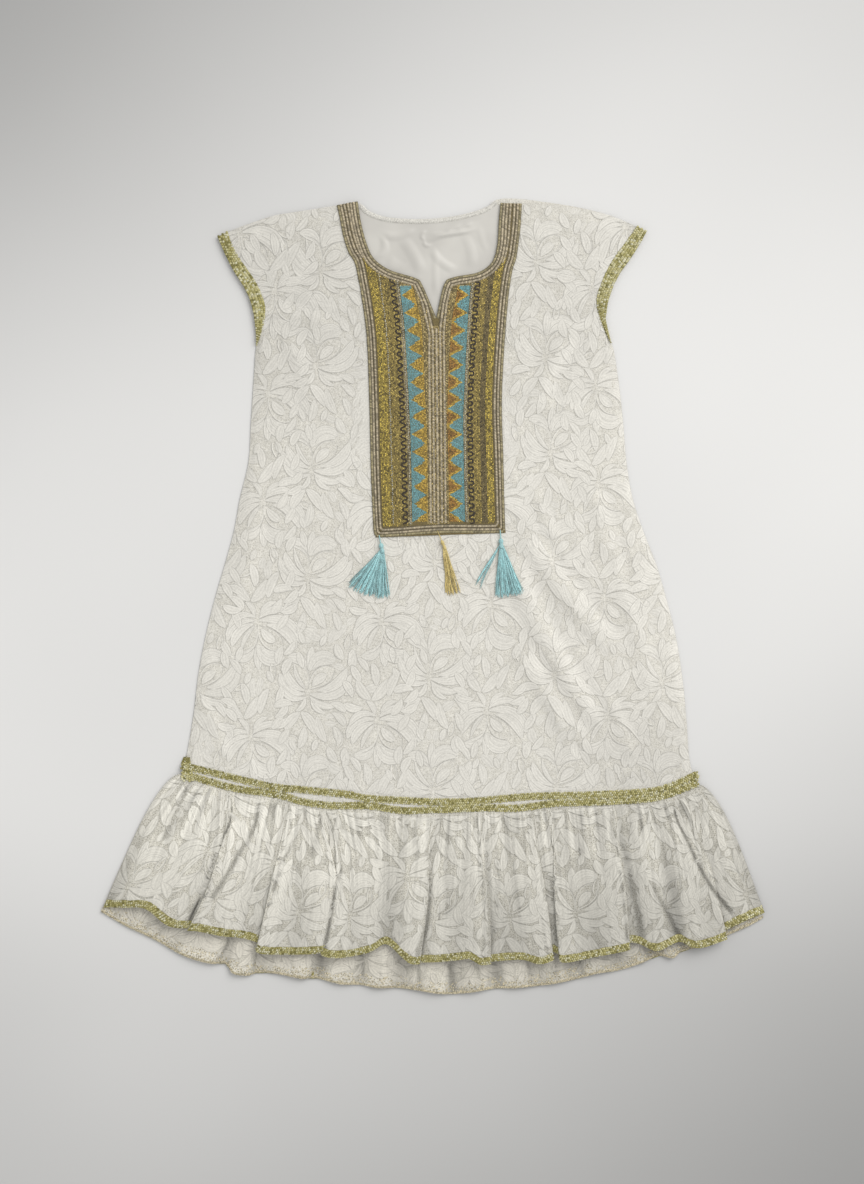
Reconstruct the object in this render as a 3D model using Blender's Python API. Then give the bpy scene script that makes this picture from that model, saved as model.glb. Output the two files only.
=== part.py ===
"""Lace dress laid flat: body, gathered flounce, embroidered bib, braids and tassels.

Metres, +Z up. The dress lies on the plane z = 0 with its neck towards +Y, and the origin is on
that plane under the middle of the dress. Every piece of cloth is a closed wall between a grid of
low points and a grid of high points, worked out from the sizes and tables below. A piece that
lies on another is made from the other's levels, moved out by the seam gap.
"""
import math
from bisect import bisect
from collections import namedtuple

import bmesh
import bpy
from mathutils import Vector

MM = 0.001

# Thickness of the cloths and trims, and the gap between pieces that touch
SEAM_GAP = 0.3 * MM
LINED_LACE = 1.2 * MM
BARE_LACE = 1.0 * MM
SATIN = 1.0 * MM
BIB_CLOTH = 1.0 * MM
BRAID = 0.9 * MM
CORD = 1.0 * MM

# Levels of the layers, from the surface up
OVER_BRAID = BRAID + SEAM_GAP
ON_BACK = LINED_LACE + SEAM_GAP
FRONT_LEVEL = ON_BACK + SATIN + SEAM_GAP
FRONT_TOP = FRONT_LEVEL + LINED_LACE
BIB_LEVEL = FRONT_TOP + SEAM_GAP
BIB_TOP = BIB_LEVEL + BIB_CLOTH

# Widths and lengths
WAIST_BRAID_WIDTH = 9.0 * MM
BINDING_WIDTH = 6.5 * MM
FRAME_CORDS_WIDTH = 12.4 * MM
NECK_CORDS_WIDTH = 9.6 * MM
PLACKET_CORD_WIDTH = 4.4 * MM
PLACKET_TOP = 348.0 * MM
CLOTH_RAMP = 3.0 * MM
SIDE_RISE = 34.0 * MM
SIDE_STRIP = 12.0 * MM
UNDERARM_ARCH = 24.0 * MM
BACK_SLEEVE_SHOWS = 1.5 * MM

# The flounce
GATHERS = 52
GATHER_HEIGHT = 1.7 * MM
FLOUNCE_LENGTH = 240.0 * MM
FLOUNCE_BULGE = 15.0 * MM
GATHERS_START = 0.03
GATHERS_FULL = 0.08
GATHERS_END = 0.8
SIDE_CALM = 0.04
HEM_STEP_START = 0.65
HEM_STEP_END = 0.85
BACK_WAVE_HEIGHT = 3.6 * MM
WAVE_CLEARANCE = 1.12
BACK_FLOUNCE_COLUMNS = 64
FRONT_FLOUNCE_ROWS = (0.0, 0.03, 0.08, 0.22, 0.42, 0.65, 0.85, 0.95, 1.0)
BACK_FLOUNCE_ROWS = (0.0, 0.025, 0.055, 0.35, 0.65, 0.85, 0.945, 0.96, 1.0)
FRONT_HEM_BRAID_ROWS = 1
BACK_HEM_BRAID_ROWS = 1

# Grid columns of the front: left half, right half (finer, for its folds)
LEFT_COLUMNS = 9
RIGHT_COLUMNS = 17
LINING_COLUMNS = 22
LINING_ROWS = 12
BRAID_SEGMENTS = 26
BAND_POINTS = 13


def table(columns, rows):
    """Records in metres from rows of millimetres under named columns."""
    record = namedtuple("record", columns)
    return [record(*(value * MM for value in row)) for row in rows]


# Sleeve edge, inner edge of its braid, and neckline, from the shoulder down to the underarm
SLEEVE = "edge_x edge_y braid_x braid_y neck_x neck_y"
LEFT_SLEEVE = table(SLEEVE, [
    (-279, 467, -266, 474, -97, 513),
    (-268, 442, -256, 449, -93, 487),
    (-257, 421, -243, 429, -86, 460),
    (-246, 404, -232, 413, -76, 439),
    (-238, 388, -223, 396, -55, 424),
    (-233, 370, -217, 376, -25, 414),
    (-230, 350, -219, 355, -7, 394),
    (-229, 326, -226, 332, 5, 362),
])
RIGHT_SLEEVE = table(SLEEVE, [
    (278, 474, 265, 481, 88, 511),
    (266, 453, 252, 462, 86, 485),
    (255, 436, 239, 445, 84, 456),
    (244, 421, 229, 429, 77, 434),
    (235, 404, 220, 410, 59, 421),
    (228, 383, 213, 387, 32, 415),
    (225, 361, 216, 364, 17, 400),
    (232, 330, 228, 336, 5, 362),
])

# Side seams from the underarm to the waist seam; the last two rows bound the waist braids
SIDES = table("left_x left_y right_x right_y", [
    (-230, 318, 236, 318),
    (-233, 270, 243, 270),
    (-236, 223, 248, 223),
    (-239, 175, 252, 175),
    (-250, 128, 260, 128),
    (-258, 85, 274, 85),
    (-270, 41, 291, 41),
    (-282, 0, 303, 0),
    (-294, -48, 316, -51),
    (-304, -100, 325, -108),
    (-310, -150, 330, -160),
    (-317, -193, 334, -212),
    (-318, -199, 335, -218),
    (-324, -229, 342, -243),
])
SIDE_SUBDIVISIONS = 2
WAIST_ZONE = 2

# Shoulders of the front, and the top edge of the back with its round neck
FRONT_SHOULDER_X = (-279, -266, -203, -125, -97, 88, 116, 139, 167, 199, 232, 265, 278)
FRONT_SHOULDER_Y = (467, 474, 496, 508, 513, 511, 510, 511, 508, 503, 495, 481, 474)
BACK_TOP_X = (-279, -266, -262, -232, -203, -164, -125, -97, -84, -62, -29, 7, 44, 71, 86,
              114, 139, 167, 199, 232, 260, 265, 279)
BACK_TOP_Y = (467, 474, 476, 487, 496, 502, 508, 512, 502, 494, 491, 492, 498, 507, 517,
              517, 514, 510, 504, 495, 483, 481, 474)
NECK_LEFT_X = -93.0 * MM
NECK_RIGHT_X = 83.0 * MM

# Centre lines of the two waist braids; the lower one covers the seam
WAIST = table("x upper_y lower_y", [
    (-325, -212, -228),
    (-283, -229, -242),
    (-236, -240, -253),
    (-190, -248, -262),
    (-144, -253, -270),
    (-110, -256, -272),
    (-64, -261, -275),
    (-20, -264, -279),
    (36, -266, -277),
    (81, -263, -275),
    (126, -259, -272),
    (171, -257, -269),
    (218, -253, -265),
    (291, -249, -261),
    (343, -231, -243),
])

# Soft folds of the front, each a low ridge from its start to its end
FOLDS = table("start_x start_y end_x end_y bow width height", [
    (120, 93, 241, -69, 6, 22, 2.8),
    (103, 48, 230, -182, 8, 22, 3.2),
    (118, -66, 214, -205, 4, 22, 2.6),
    (205, 152, 233, 48, -4, 17, 1.8),
    (262, 20, 290, -130, 3, 18, 1.4),
    (-222, 190, -243, 0, -4, 18, 1.4),
    (-20, 40, -36, -190, 3, 26, 1.0),
    (185, 345, 140, 228, 6, 20, 1.5),
    (-190, 345, -150, 240, -6, 20, 1.2),
])

# Creases of the satin lining inside the neck
CREASES = table("start_x start_y end_x end_y bow width height", [
    (-76, 444, -22, 480, 6, 9, 1.6),
    (-40, 470, -14, 420, -2, 11, 1.2),
    (-10, 462, 84, 486, -2, 8, 2.0),
    (2, 474, 60, 500, 0, 8, 1.4),
    (-2, 452, 30, 424, 3, 11, 1.4),
    (42, 470, 52, 428, -2, 9, 1.0),
])
CREASE_AREA = table("middle_x middle_y half_width half_height", [(-3, 460, 80, 42)])[0]

# Lining: its upper and lower widths, and how far down it reaches under the front
LINING = table("top_left top_right bottom_left bottom_right bottom_y", [
    (-118, 112, -58, 66, 338),
])[0]
LINING_EDGE = 2.0 * MM
LINING_SHELTER = 32.0 * MM

# Front pleats from left to right: place at the waist seam, at the hem, and height there
PLEATS = table("top_x hem_x hem_y lift bow", [
    (-328, -427, -403, 0, 0),
    (-307, -400, -403, 2.5, 0),
    (-289, -372, -404, 4.5, 0),
    (-278, -343, -426, 3, 0),
    (-267, -316, -430, 0.3, 3),
    (-258, -303, -433, 5.5, 3),
    (-227, -274, -439, 4.5, 0),
    (-206, -248, -442, 2, 2),
    (-190, -227, -448, 0.6, 4),
    (-183, -220, -462, 6, 5),
    (-166, -185, -463, 4.5, 10),
    (-151, -154, -462, 6, 18),
    (-144, -143, -453, 0.2, 20),
    (-137, -131, -467, 7, 20),
    (-114, -109, -466, 5, 12),
    (-81, -81, -460, 4, 5),
    (-53, -60, -450, 2, 2),
    (-22, -38, -468, 5, 2),
    (-4, -27, -475, 6.5, 2),
    (4, -18, -474, 1, 0),
    (18, 5, -473, 3, 0),
    (38, 29, -471, 3, 0),
    (52, 48, -469, 5, 0),
    (61, 62, -476, 6.5, 0),
    (68, 74, -473, 1, 0),
    (98, 115, -470, 2.5, 0),
    (118, 136, -475, 6, 0),
    (126, 149, -473, 6.5, 0),
    (132, 155, -460, 0.6, 0),
    (146, 166, -464, 3, 0),
    (156, 174, -473, 6.5, 0),
    (192, 211, -466, 5, 0),
    (226, 246, -459, 6.5, 0),
    (234, 254, -448, 0.6, 0),
    (250, 269, -450, 1.5, 0),
    (268, 291, -458, 6, 0),
    (283, 319, -447, 1.5, 0),
    (294, 334, -453, 5.5, 0),
    (303, 349, -454, 6, 0),
    (312, 371, -447, 5, 0),
    (319, 380, -432, 0.3, 0),
    (330, 405, -420, 3, 0),
    (345, 431, -410, 0, 0),
])

# Hem of the back flounce from left to right: its lobes, and their height as a share of a wave
BACK_HEM = table("hem_x hem_y lift", [
    (-431, -409, 0),
    (-400, -427, 300),
    (-360, -446, 100),
    (-324, -466, 500),
    (-290, -476, 900),
    (-269, -477, 100),
    (-259, -489, 950),
    (-240, -492, 600),
    (-225, -488, 50),
    (-200, -490, 500),
    (-170, -496, 950),
    (-153, -495, 50),
    (-120, -503, 800),
    (-95, -504, 150),
    (-71, -508, 850),
    (-45, -508, 150),
    (-20, -511, 700),
    (5, -515, 950),
    (28, -516, 100),
    (55, -513, 900),
    (81, -509, 50),
    (110, -508, 750),
    (140, -505, 250),
    (160, -502, 850),
    (189, -496, 150),
    (215, -489, 900),
    (243, -485, 50),
    (273, -475, 700),
    (293, -466, 150),
    (312, -469, 950),
    (325, -460, 50),
    (355, -453, 650),
    (383, -440, 150),
    (410, -428, 400),
    (430, -417, 0),
])

# Sides of the bib from the shoulders to its lower edge
BIB = table("left_x left_y right_x right_y", [
    (-124, 508, 116, 510),
    (-120, 489, 115, 489),
    (-116, 468, 113, 468),
    (-109, 447, 109, 440),
    (-101, 433, 104, 424),
    (-96, 410, 100, 400),
    (-90, 375, 97, 372),
    (-85, 330, 93, 320),
    (-82, 250, 90, 250),
    (-80, 160, 92, 180),
    (-77, 92, 94, 100),
    (-74, 77, 95, 83),
])

# Bands of points on both sides of the placket
BANDS = table("y left_outer left_inner right_inner right_outer", [
    (391, -41, -23, 31, 48),
    (348, -36, -14, 24, 45),
    (245, -30, -9, 19, 40),
    (197, -28, -7, 20, 40),
    (98, -26, -6, 22, 42),
])
BAND_ROOT = 0.13
BAND_TIP = 0.90
BAND_GAP = 0.65 * MM

# Placket: its middle at the slit and at the lower edge
PLACKET = table("top_x bottom_x bottom_y", [(5, 7.5, 94)])[0]
NECK_CORD_INSET = 5.4 * MM

# Tassels: hanging point, head, fan of locks from the first to the last, length and lock size
TASSELS = {
    "tassel_left": dict(hang=(-68.5, 73.6), head=(-66.5, 66.0), locks=16, first=-44.0, last=7.0,
                        length=60.0, stray=None, slot="turquoise_silk"),
    "tassel_centre": dict(hang=(8.0, 79.4), head=(13.0, 70.0), locks=8, first=3.0, last=18.0,
                          length=62.0, stray=None, slot="gold_silk"),
    "tassel_right": dict(hang=(88.0, 80.6), head=(88.8, 72.0), locks=13, first=-5.0, last=23.0,
                         length=66.0, stray=-31.0, slot="turquoise_silk"),
}
HEAD_ROWS = table("along half_width half_depth", [
    (-1, 0.7, 0.7),
    (0, 2.0, 1.6),
    (2, 3.4, 2.3),
    (4.5, 3.4, 2.3),
    (6, 2.4, 1.6),
    (9, 3.4, 1.6),
])
# Steps of a lock: thousandths of its length, and its size there
LOCK_STEPS = table("along half_width half_depth", [
    (250, 0.75, 0.45),
    (600, 1.15, 0.5),
    (1000, 0.7, 0.35),
])
HEAD_START = 2.0 * MM
FULL_HEAD_LOCKS = 13
LOCK_INSET = 0.06 * MM
LOCK_LAYER = 1.3 * MM
LOCK_CLEARANCE = 0.1 * MM
LOCK_VARIATION = 0.07
STRAY_SHARE = 0.92

Finish = namedtuple("Finish", "colour roughness metallic")
FINISHES = {
    "white_lace": Finish((0.70, 0.68, 0.62), 0.75, 0.0),
    "white_satin": Finish((0.62, 0.60, 0.56), 0.45, 0.0),
    "white_binding": Finish((0.66, 0.64, 0.58), 0.70, 0.0),
    "gold_embroidery": Finish((0.29, 0.22, 0.08), 0.55, 0.3),
    "pale_cord": Finish((0.45, 0.38, 0.27), 0.60, 0.1),
    "turquoise_silk": Finish((0.17, 0.40, 0.42), 0.45, 0.0),
    "gold_silk": Finish((0.45, 0.32, 0.09), 0.45, 0.1),
    "gold_braid": Finish((0.33, 0.30, 0.13), 0.40, 0.4),
}


def clamp(value):
    return min(max(value, 0.0), 1.0)


def ease(value):
    """A smooth step from 0 to 1."""
    value = clamp(value)
    return value * value * (3.0 - 2.0 * value)


def bell(value):
    """A smooth bump, 1 at 0 and nothing past -1 and 1."""
    return (1.0 - min(value * value, 1.0)) ** 2


def mix(start, end, share):
    return start + (end - start) * share


def straight(xs, ys, x):
    """The height at x of a line drawn straight from point to point."""
    i = min(max(bisect(xs, x) - 1, 0), len(xs) - 2)
    return mix(ys[i], ys[i + 1], clamp((x - xs[i]) / (xs[i + 1] - xs[i])))


def curved(xs, ys, x):
    """The height at x of a smooth curve through the points."""
    i = min(max(bisect(xs, x) - 1, 0), len(xs) - 2)
    width = xs[i + 1] - xs[i]

    def slope(k):
        before, after = max(k - 1, 0), min(k + 1, len(xs) - 1)
        return (ys[after] - ys[before]) / (xs[after] - xs[before]) * width

    s = clamp((x - xs[i]) / width)
    h = s * s * (3.0 - 2.0 * s)
    return (mix(ys[i], ys[i + 1], h) + slope(i) * s * (1.0 - s) ** 2
            - slope(i + 1) * s * s * (1.0 - s))


def column(rows, name):
    return [getattr(row, name) for row in rows]


def seam_y(x):
    return curved(column(WAIST, "x"), column(WAIST, "lower_y"), x)


def upper_braid_y(x):
    return curved(column(WAIST, "x"), column(WAIST, "upper_y"), x)


def back_top_y(x):
    return straight([v * MM for v in BACK_TOP_X], [v * MM for v in BACK_TOP_Y], x)


def front_shoulder_y(x):
    xs = [v * MM for v in FRONT_SHOULDER_X]
    return straight(xs, [v * MM for v in FRONT_SHOULDER_Y], x)


def ridges(rows, x, y):
    """Height of all the ridges of a table at one place."""
    height = 0.0
    for row in rows:
        run_x, run_y = row.end_x - row.start_x, row.end_y - row.start_y
        length = math.hypot(run_x, run_y)
        along = ((x - row.start_x) * run_x + (y - row.start_y) * run_y) / length ** 2
        across = ((x - row.start_x) * run_y - (y - row.start_y) * run_x) / length
        across -= row.bow * math.sin(math.pi * clamp(along))
        fade = ease(along / 0.3 + 0.2) * ease((1.0 - along) / 0.3 + 0.2)
        height += row.height * fade * bell(across / row.width)
    return height


def material(slot):
    """The Principled material of a finish, made once."""
    made = bpy.data.materials.get(slot)
    if made is None:
        finish = FINISHES[slot]
        made = bpy.data.materials.new(slot)
        made.use_nodes = True
        shader = made.node_tree.nodes["Principled BSDF"]
        shader.inputs["Base Color"].default_value = (*finish.colour, 1.0)
        shader.inputs["Roughness"].default_value = finish.roughness
        shader.inputs["Metallic"].default_value = finish.metallic
        made.diffuse_color = (*finish.colour, 1.0)
    return made


def wall_mesh(rows, slit=None):
    """A closed wall from a grid of (low point, high point) pairs, rows running down the dress.

    slit is (column, row): the cloth is open between that column and the next, above that row.
    """
    bm = bmesh.new()
    low = [[bm.verts.new(pair[0]) for pair in row] for row in rows]
    high = [[bm.verts.new(pair[1]) for pair in row] for row in rows]
    last = len(rows[0]) - 1
    open_column, open_rows = slit if slit else (None, 0)
    for j in range(len(rows) - 1):
        for i in range(last):
            if i != open_column:
                bm.faces.new((high[j][i], high[j + 1][i], high[j + 1][i + 1], high[j][i + 1]))
                bm.faces.new((low[j][i], low[j][i + 1], low[j + 1][i + 1], low[j + 1][i]))
        stretches = [(0, last)]
        if j < open_rows:
            stretches = [(0, open_column), (open_column + 1, last)]
        for left, right in stretches:
            bm.faces.new((high[j][left], low[j][left], low[j + 1][left], high[j + 1][left]))
            bm.faces.new((high[j][right], high[j + 1][right], low[j + 1][right], low[j][right]))
    for i in range(last):
        if i != open_column:
            bm.faces.new((high[0][i], high[0][i + 1], low[0][i + 1], low[0][i]))
            bm.faces.new((high[-1][i], low[-1][i], low[-1][i + 1], high[-1][i + 1]))
    if slit:
        shared = [grid[j][i] for grid in (low, high) for j in range(open_rows, len(rows))
                  for i in (open_column, open_column + 1)]
        bmesh.ops.remove_doubles(bm, verts=shared, dist=0.01 * MM)
    return bm


def add(name, bm, slot, smooth_angle=40.0):
    """Put a finished mesh in the dress's collection under its own name and material."""
    mesh = bpy.data.meshes.new(name)
    bm.to_mesh(mesh)
    bm.free()
    mesh.materials.append(material(slot))
    mesh.shade_smooth()
    mesh.set_sharp_from_angle(angle=math.radians(smooth_angle))
    item = bpy.data.objects.new(name, mesh)
    bpy.data.collections["lace_dress"].objects.link(item)
    return item


def add_wall(name, rows, slot, slit=None):
    return add(name, wall_mesh(rows, slit), slot)


def layer(points, low, thickness):
    """Pairs of points for a wall over flat (x, y) points; low is a height or a function."""
    pairs = []
    for x, y in points:
        z = low(x, y) if callable(low) else low
        pairs.append(((x, y, z), (x, y, z + thickness)))
    return pairs


# The body


def body_ends(t):
    """Left and right end of the section at t, counted in rows of SIDES."""
    index = list(range(len(SIDES)))
    return [curved(index, column(SIDES, name), t)
            for name in ("left_x", "left_y", "right_x", "right_y")]


def section_steps(subdivisions):
    """Places of the sections below the underarm, closer where folds lie, single in the ramp."""
    steps = []
    ramp = len(SIDES) - 1 - WAIST_ZONE
    for row in range(len(SIDES) - 1):
        parts = 1 if row == ramp else subdivisions
        steps += [row + k / parts for k in range(parts)]
    return steps + [float(len(SIDES) - 1)]


def section_y(t, share, chord_y):
    """Height of a section at a share of its width: it arches at the arms, sags to the seam."""
    left_x, left_y, right_x, right_y = body_ends(len(SIDES) - 1)
    drop = seam_y(mix(left_x, right_x, share)) - mix(left_y, right_y, share)
    arch = UNDERARM_ARCH * (1.0 - abs(2.0 * share - 1.0) ** 1.5) * max(0.0, 1.0 - t / 2.0)
    return chord_y + arch + drop * (t / (len(SIDES) - 1)) ** 2


def section_points(t, shares):
    left_x, left_y, right_x, right_y = body_ends(t)
    return [(mix(left_x, right_x, s), section_y(t, s, mix(left_y, right_y, s))) for s in shares]


def body_shares(t, parts, middle_share):
    """Shares of the width: edge, side strip, ramp, then even steps from half to half."""
    left_x, _, right_x, _ = body_ends(t)
    width = right_x - left_x
    strip, ramp = SIDE_STRIP / width, (SIDE_STRIP + CLOTH_RAMP) / width
    left_parts, right_parts = parts
    left = [mix(ramp, middle_share, k / left_parts) for k in range(left_parts + 1)]
    right = [mix(middle_share, 1.0 - ramp, k / right_parts) for k in range(right_parts + 1)]
    return [0.0, strip] + left, right + [1.0 - strip, 1.0]


def middle_share(t):
    left_x, _, right_x, _ = body_ends(t)
    return (PLACKET.top_x - left_x) / (right_x - left_x)


def sleeve_run(row, parts, shoulder_bulge):
    """Points of a front section from the sleeve edge to the neckline."""
    reach = math.hypot(row.neck_x - row.braid_x, row.neck_y - row.braid_y)
    points = [(row.edge_x, row.edge_y), (row.braid_x, row.braid_y)]
    for k in range(parts + 1):
        share = mix(CLOTH_RAMP / reach, 1.0, k / parts)
        x = mix(row.braid_x, row.neck_x, share)
        y = mix(row.braid_y, row.neck_y, share)
        points.append((x, y + shoulder_bulge(x, share)))
    return points


def shoulder_bulge_of(table_rows, fraction):
    """How far a section lies above its own chord, fading from the shoulder to the underarm."""
    top = table_rows[0]

    def bulge(x, share):
        top_x = mix(top.braid_x, top.neck_x, share)
        chord = mix(top.braid_y, top.neck_y, share)
        return (front_shoulder_y(top_x) - chord) * fraction

    return bulge


def front_edge_rise(x):
    """On the shoulder seam the front comes down to the back, except over the neck lining."""
    beside_neck = max(LINING.top_left - x, x - LINING.top_right) - 4.0 * MM
    return 1.0 - ease(beside_neck / LINING_SHELTER)


def front_low(x, y, rise, folded=1.0):
    """Underside of the front: rise is 0 on a seam with the back and 1 away from it."""
    return mix(ON_BACK, FRONT_LEVEL, rise) + rise * folded * ridges(FOLDS, x, y)


def front_rows():
    """Sections of the front, from the shoulders down to the waist seam."""
    rows = []
    for index, (left, right) in enumerate(zip(LEFT_SLEEVE, RIGHT_SLEEVE)):
        fade = 1.0 - index / (len(LEFT_SLEEVE) - 1)
        left_points = sleeve_run(left, LEFT_COLUMNS, shoulder_bulge_of(LEFT_SLEEVE, fade))
        right_points = sleeve_run(right, RIGHT_COLUMNS, shoulder_bulge_of(RIGHT_SLEEVE, fade))
        points = left_points + right_points[::-1]
        row = []
        for i, (x, y) in enumerate(points):
            on_braid = i < 2 or i >= len(points) - 2
            rise = front_edge_rise(x) if index == 0 and not on_braid else 1.0
            z = front_low(x, y, rise)
            row.append(((x, y, z), (x, y, z + LINED_LACE)))
        rows.append(row)
    for t in section_steps(SIDE_SUBDIVISIONS):
        left, right = body_shares(t, (LEFT_COLUMNS, RIGHT_COLUMNS), middle_share(t))
        points = section_points(t, left + right)
        in_waist = ease(t - (len(SIDES) - 1 - WAIST_ZONE))
        row = []
        for x, y in points:
            from_side = min(x - points[0][0], points[-1][0] - x)
            rise = max(ease(from_side / SIDE_RISE), in_waist)
            z = front_low(x, y, rise, 1.0 - in_waist)
            row.append(((x, y, z), (x, y, z + LINED_LACE)))
        rows.append(row)
    return rows


def make_front():
    rows = front_rows()
    add_wall("front_panel", rows, "white_lace", slit=(LEFT_COLUMNS + 2, len(LEFT_SLEEVE) - 1))
    return rows


def back_rows():
    """Sections of the back, from the shoulders and neck down to the waist seam."""
    rows = []
    top_xs = [v * MM for v in BACK_TOP_X]
    top_left, top_right = top_xs[2], top_xs[-3]
    inner = [(x - top_left) / (top_right - top_left) for x in top_xs[2:-2]]
    last = len(LEFT_SLEEVE) - 1
    for index, (left, right) in enumerate(zip(LEFT_SLEEVE, RIGHT_SLEEVE)):
        fade = 1.0 - index / last
        start_x, start_y = left.braid_x + CLOTH_RAMP, left.braid_y
        end_x, end_y = right.braid_x - CLOTH_RAMP, right.braid_y
        row = layer([(left.edge_x, left.edge_y), (left.braid_x, left.braid_y)],
                    OVER_BRAID, LINED_LACE)
        for share in inner:
            top_x = mix(top_left, top_right, share)
            above = back_top_y(top_x) - mix(back_top_y(top_left), back_top_y(top_right), share)
            point = (mix(start_x, end_x, share), mix(start_y, end_y, share) + above * fade)
            row += layer([point], 0.0, LINED_LACE)
        row += layer([(right.braid_x, right.braid_y),
                      (right.edge_x + BACK_SLEEVE_SHOWS, right.edge_y)], OVER_BRAID, LINED_LACE)
        rows.append(row)
    for t in section_steps(1):
        left_x, _, right_x, _ = body_ends(t)
        strip = SIDE_STRIP / (right_x - left_x)
        ramp = (SIDE_STRIP + CLOTH_RAMP) / (right_x - left_x)
        shares = [0.0, strip] + [mix(ramp, 1.0 - ramp, s) for s in inner] + [1.0 - strip, 1.0]
        z = OVER_BRAID * ease(t - (len(SIDES) - 1 - WAIST_ZONE))
        rows.append(layer(section_points(t, shares), z, LINED_LACE))
    return rows


def make_back():
    add_wall("back_panel", back_rows(), "white_lace")


def lining_crease(x, y):
    """Creases show only inside the neck, clear of the front and of the binding."""
    area = CREASE_AREA
    off = (((x - area.middle_x) / area.half_width) ** 2
           + ((y - area.middle_y) / area.half_height) ** 2)
    below_binding = back_top_y(x) - BINDING_WIDTH - 3.0 * MM - y
    return ridges(CREASES, x, y) * ease(2.0 * (1.0 - off)) * ease(below_binding / (8.0 * MM))


def make_lining():
    rows = []
    for j in range(LINING_ROWS + 1):
        down = (j / LINING_ROWS) ** 1.5
        points = []
        for i in range(LINING_COLUMNS + 1):
            share = i / LINING_COLUMNS
            left = mix(LINING.top_left, LINING.bottom_left, down)
            right = mix(LINING.top_right, LINING.bottom_right, down)
            top_x = mix(LINING.top_left, LINING.top_right, share)
            top = min(back_top_y(top_x), front_shoulder_y(top_x)) - LINING_EDGE
            points.append((mix(left, right, share), mix(top, LINING.bottom_y, down)))
        rows.append(layer(points, lambda x, y: ON_BACK + lining_crease(x, y), SATIN))
    add_wall("back_lining", rows, "white_satin")


# Strips: braids, cords and the binding


def strip_rows(path, width, low, height, section):
    """Rows of a strip along a path of (x, y); section is (place across, share of height)."""
    rows = []
    for k, (x, y) in enumerate(path):
        before, after = path[max(k - 1, 0)], path[min(k + 1, len(path) - 1)]
        first = (x - before[0], y - before[1])
        second = (after[0] - x, after[1] - y)
        first = second if first == (0.0, 0.0) else first
        second = first if second == (0.0, 0.0) else second
        first_length, second_length = math.hypot(*first), math.hypot(*second)
        way = (first[0] / first_length + second[0] / second_length,
               first[1] / first_length + second[1] / second_length)
        size = math.hypot(*way)
        mitre = 2.0 / size
        across = (-way[1] / size * mitre, way[0] / size * mitre)
        row = []
        for place, share in section:
            px = x + across[0] * place * width / 2.0
            py = y + across[1] * place * width / 2.0
            row.append(((px, py, low), (px, py, low + height * share)))
        rows.append(row)
    return rows


FLAT_BRAID = ((-1.0, 0.6), (0.0, 1.0), (1.0, 0.6))
TWO_CORDS = ((-1.0, 0.4), (-0.5, 1.0), (0.0, 0.45), (0.5, 1.0), (1.0, 0.4))
ONE_CORD = ((-1.0, 0.4), (0.0, 1.0), (1.0, 0.4))


def make_strip(name, path, width, low, height, section, slot):
    add_wall(name, strip_rows(path, width, low, height, section), slot)


def waist_path(height_of):
    start, end = WAIST[0].x, WAIST[-1].x
    xs = [mix(start, end, k / BRAID_SEGMENTS) for k in range(BRAID_SEGMENTS + 1)]
    return [(x, height_of(x)) for x in xs]


def make_waist_braids():
    for name, height_of in (("upper", upper_braid_y), ("lower", seam_y)):
        path = waist_path(height_of)[::-1]
        make_strip(f"waist_braid_{name}_front", path, WAIST_BRAID_WIDTH, BIB_LEVEL, BRAID,
                   FLAT_BRAID, "gold_braid")
        make_strip(f"waist_braid_{name}_back", path, WAIST_BRAID_WIDTH, 0.0, BRAID,
                   ((-1.0, 1.0), (1.0, 1.0)), "gold_braid")


def make_cuff_braids(front):
    """The sleeve braids: on the front's points moved out, and flat under the back."""
    sleeves = len(LEFT_SLEEVE)
    for side, columns in (("left", (0, 1)), ("right", (-2, -1))):
        over, under = [], []
        for row in front[:sleeves]:
            edge = [row[i][1] for i in columns]
            over.append([((x, y, z + SEAM_GAP), (x, y, z + SEAM_GAP + BRAID)) for x, y, z in edge])
            under.append([((x, y, 0.0), (x, y, BRAID)) for x, y, z in edge])
        add_wall(f"cuff_braid_{side}_front", over, "gold_braid")
        add_wall(f"cuff_braid_{side}_back", under, "gold_braid")


def make_binding():
    xs = [NECK_LEFT_X] + [v * MM for v in BACK_TOP_X[8:14]] + [NECK_RIGHT_X]
    ys = [back_top_y(x) for x in xs]
    steps = 20
    path = []
    for k in range(steps + 1):
        x = mix(NECK_LEFT_X, NECK_RIGHT_X, k / steps)
        path.append((x, curved(xs, ys, x) - BINDING_WIDTH / 2.0 - 0.5 * MM))
    make_strip("back_neck_binding", path[::-1], BINDING_WIDTH, FRONT_LEVEL, SATIN,
               ((-1.0, 0.5), (0.0, 1.0), (1.0, 0.5)), "white_binding")


# The bib


def bib_side(side):
    return [(getattr(row, side + "_x"), getattr(row, side + "_y")) for row in BIB]


def neckline(side):
    rows = LEFT_SLEEVE if side == "left" else RIGHT_SLEEVE
    return [(row.neck_x, row.neck_y) for row in rows]


def make_bib():
    """One flat piece: two shoulder straps that run into the breast piece round the slit."""
    rows = []
    slit_rows = len(LEFT_SLEEVE)
    for index, row in enumerate(BIB):
        left, right = (row.left_x, row.left_y), (row.right_x, row.right_y)
        if index < slit_rows:
            inner_left, inner_right = neckline("left")[index], neckline("right")[index]
        else:
            share = (index - slit_rows + 1) / (len(BIB) - slit_rows)
            x = mix(PLACKET.top_x, PLACKET.bottom_x, share)
            y = mix(neckline("left")[-1][1], (row.left_y + row.right_y) / 2.0, ease(share * 2.0))
            inner_left = inner_right = (x, y)
        points = [left, inner_left, inner_right, right]
        rows.append(layer(points, BIB_LEVEL, BIB_CLOTH))
    add_wall("bib", rows, "gold_embroidery", slit=(1, slit_rows - 1))


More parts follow.
